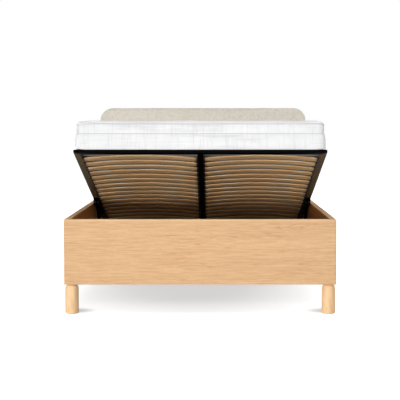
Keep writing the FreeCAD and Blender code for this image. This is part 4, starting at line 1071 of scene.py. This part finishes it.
BASE_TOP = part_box("foot_panel")[1].z
INNER_X = -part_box("left_side_panel")[1].x
INNER_FOOT = -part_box("foot_panel")[1].y
FINISHES = {
    "foot_panel": wood("oak_foot_panel", "x", OAK, BASE_TOP, ("Y", INNER_FOOT)),
    "head_panel": wood("oak_head_panel", "x", OAK, BASE_TOP),
    "side_panel": wood("oak_side_panel", "y", OAK, BASE_TOP, ("X", INNER_X)),
    "leg": wood("oak_leg", "z", LEG_OAK),
    "slat": wood("bent_slat", "x", BIRCH),
    "timber_x": wood("timber_across", "x", PINE),
    "timber_y": wood("timber_along", "y", PINE),
    "timber_z": wood("timber_upright", "z", PINE),
    "floor": wood("floor_veneer", "x", FLOOR_VENEER),
    "powder": powder_coat("powder_coat_black", tint(3, 2, 2), tint(15, 13, 11)),
    # Painted light: the side tubes are black steel; this brown coat stands for warm light bounced off the
    # wood.
    "painted_warm_bounce": powder_coat("powder_coat_bronze", tint(97, 80, 56), tint(110, 92, 66)),
    "zinc": zinc_plate(),
    "chrome": polished_steel(),
    "blacked": blacked_steel(),
    "plastic": moulded_plastic(),
    "rubber": rubber(),
    "felt": felt(),
    "lining": lining(),
}
NODE_FINISHES = {
    "foot_panel": ["foot_panel"],
    "head_panel": ["head_panel"],
    "side_panel": both("side_panel"),
    "timber_x": ["foot_floor_batten", "head_floor_batten", "foot_rest_ledge", "headboard_frame"],
    "timber_y": ["centre_bearer"] + both("floor_batten") + both("rest_ledge"),
    "timber_z": ["corner_blocks", "centre_feet"],
    "floor": ["foot_floor_board", "middle_floor_board", "head_floor_board"],
    "powder": ["foot_tube", "head_tube", "centre_tube"] + both("hinge_plate") + both("lift_arm")
              + both("strut_cylinder"),
    # Painted light: brown coat on the black side tubes for warm light bounced off the wood.
    "painted_warm_bounce": both("side_tube"),
    "zinc": ["leg_bolts", "corner_brackets", "corner_inserts"],
    "chrome": both("strut_rod"),
    "blacked": ["pivot_pins", "lower_strut_studs", "upper_strut_studs"],
    "plastic": both("slat_caps"),
    "rubber": ["rest_bumpers"],
    "felt": ["foot_glides"],
    "lining": ["headboard_back_board"],
}


def dress_nodes():
    """Give each of these nodes its finish."""
    for finish, nodes in NODE_FINISHES.items():
        for node in nodes:
            for place in frame["nodes"][node].material_slots:
                place.material = FINISHES[finish]


# Stage

WHITE = (1, 1, 1, 1)
BLACK = (0, 0, 0, 1)
FLOOR_SIZE = 120.0
FLOOR_COLOUR = (0.715, 0.725, 0.735, 1.0)
FLOOR_OWN_WHITE = 0.605
FLOOR_RIM_WHITE = 0.89
FLOOR_SHADE_CENTRE = (-0.06, 0.0, 0.0)
FLOOR_SHADE_STRETCH = (1.1, 0.7, 0.0)
FLOOR_SHADE_RUN = (0.3, 1.15)
FLOOR_FAR_RUN = (2.2, 5.0)
LEG_SHADE = 0.46
LEG_SHADE_SHIFT = (0.02, 0.085)
LEG_SHADE_RUN = (0.015, 0.135)
LEG_SHADE_EDGE = 0.02
AMBIENT = 0.12
FULL_BEAM = 180.0

# Soft lights: place, aim, size and power, and the beam in degrees where it is narrowed
SOFT_BOXES = {
    "low_front_box": ((-3.6, -9.6, 0.42), (0.0, -1.0, 0.45), (5.5, 0.8), 205.0),
    "upper_front_box": ((0.3, -9.0, 3.4), (0.0, 0.0, 0.9), (6.0, 1.5), 182.0),
    "overhead_box": ((0.0, -1.8, 5.4), (0.0, -0.8, 0.0), (5.0, 4.0), 88.0),
    "left_key": ((-7.0, -7.0, 0.5), (0.2, -1.05, 0.35), (1.8, 1.4), 12.0, 28.0),
    "right_fill": ((7.0, -5.0, 2.4), (0.0, -0.5, 0.6), (2.6, 2.2), 85.0),
    "left_side_fill": ((-8.5, 1.8, 2.2), (0.0, 0.0, 0.5), (3.0, 2.0), 90.0),
    "right_side_fill": ((8.5, 1.8, 2.2), (0.0, 0.0, 0.5), (3.0, 2.0), 90.0),
    "rear_fill": ((2.0, 9.0, 3.5), (0.0, 1.0, 0.7), (6.0, 3.0), 250.0),
}


def floor():
    """White studio floor. Its own white shows to the eye only and grows away from the bed, so that the
    floor meets the backdrop unseen; the bed's shadow stays on it. Its own white is lower under the bed
    and on the inner side of each foot leg: painted shade added to that shadow."""
    half = FLOOR_SIZE / 2
    corners = [(-half, -half, 0), (half, -half, 0), (half, half, 0), (-half, half, 0)]
    finish = Finish("studio_floor", {"Specular IOR Level": 0.0, "Roughness": 0.9, "Emission Strength": 1.0})
    grain = finish.noise(even(30), 2.0)
    finish.feed("Base Color", finish.blend(grain * 0.03, FLOOR_COLOUR, WHITE))

    def reach(place):
        return finish.node("ShaderNodeVectorMath", {"operation": "LENGTH"}, {0: place}, "Value")

    # Painted shade: the own white is lowered in an ellipse under the bed.
    off_centre = finish.vector("SUBTRACT", finish.place, FLOOR_SHADE_CENTRE)
    shade = reach(finish.vector("MULTIPLY", off_centre, FLOOR_SHADE_STRETCH)).step(*FLOOR_SHADE_RUN)
    white = FLOOR_OWN_WHITE + (FLOOR_RIM_WHITE - FLOOR_OWN_WHITE) * shade
    across = abs(finish.axis("X"))
    # Painted shade: the own white is lowered on the inner side of each foot leg, as a contact shadow.
    for node, inward in (("foot_left_leg", 1), ("foot_right_leg", -1)):
        low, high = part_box(node)
        outer = max(-low.x, high.x)
        beside = 1 - across.step(outer - LEG_SHADE_EDGE, outer)
        shaded_x = (low.x + high.x) / 2 + inward * LEG_SHADE_SHIFT[0]
        shaded = (shaded_x, (low.y + high.y) / 2 + LEG_SHADE_SHIFT[1], 0.0)
        away = reach(finish.vector("SUBTRACT", finish.place, shaded)).step(*LEG_SHADE_RUN)
        white = white - LEG_SHADE * beside * (1 - away)
    white = white + (1 - FLOOR_RIM_WHITE) * reach(finish.place).step(*FLOOR_FAR_RUN)
    finish.feed("Emission Color", finish.blend(white * finish.seen_directly(), BLACK, WHITE))
    piece("studio_floor", corners, [(0, 1, 2, 3)], finish.material)


def backdrop():
    """White to the eye, and a dimmer even light on the bed."""
    world = bpy.data.worlds.new("studio")
    world.use_nodes = True
    bpy.context.scene.world = world
    tree = Tree(world.node_tree)
    shown = tree.blend(tree.seen_directly(), (AMBIENT, AMBIENT, AMBIENT, 1), WHITE)
    tree.set(world.node_tree.nodes["Background"].inputs["Color"], shown)


def soft_box(name, place, aim, size, power, beam=FULL_BEAM):
    """Soft light. A grid on its front narrows the beam, given in degrees."""
    light = bpy.data.lights.new(name, "AREA")
    light.shape = "RECTANGLE"
    light.size, light.size_y = size
    light.energy = power
    light.spread = math.radians(beam)
    lamp = bpy.data.objects.new(name, light)
    lamp.location = place
    lamp.rotation_mode = "QUATERNION"
    lamp.rotation_quaternion = (Vector(aim) - Vector(place)).to_track_quat("-Z", "Y")
    bpy.context.scene.collection.objects.link(lamp)


def camera():
    """Camera at the photograph's viewing angle."""
    lens = bpy.data.cameras.new("camera")
    lens.lens = CAMERA_LENS
    lens.sensor_width = CAMERA_SENSOR
    lens.shift_x, lens.shift_y = CAMERA_SHIFT
    lens.clip_end = CAMERA_REACH
    made = bpy.data.objects.new("camera", lens)
    made.location = CAMERA_PLACE
    made.rotation_euler = (math.radians(90 - CAMERA_PITCH), 0, 0)
    bpy.context.scene.collection.objects.link(made)
    bpy.context.scene.camera = made


bpy.context.scene.view_settings.view_transform = "Standard"
camera()
floor()
backdrop()
for box_name, box in SOFT_BOXES.items():
    soft_box(box_name, *box)
dress_nodes()
for leg_node in ("foot_left_leg", "foot_right_leg", "head_left_leg", "head_right_leg"):
    leg(leg_node)
for bay in ("left", "right"):
    slats(bay)
all_fasteners()
mattress()
headboard()
lining_staples()
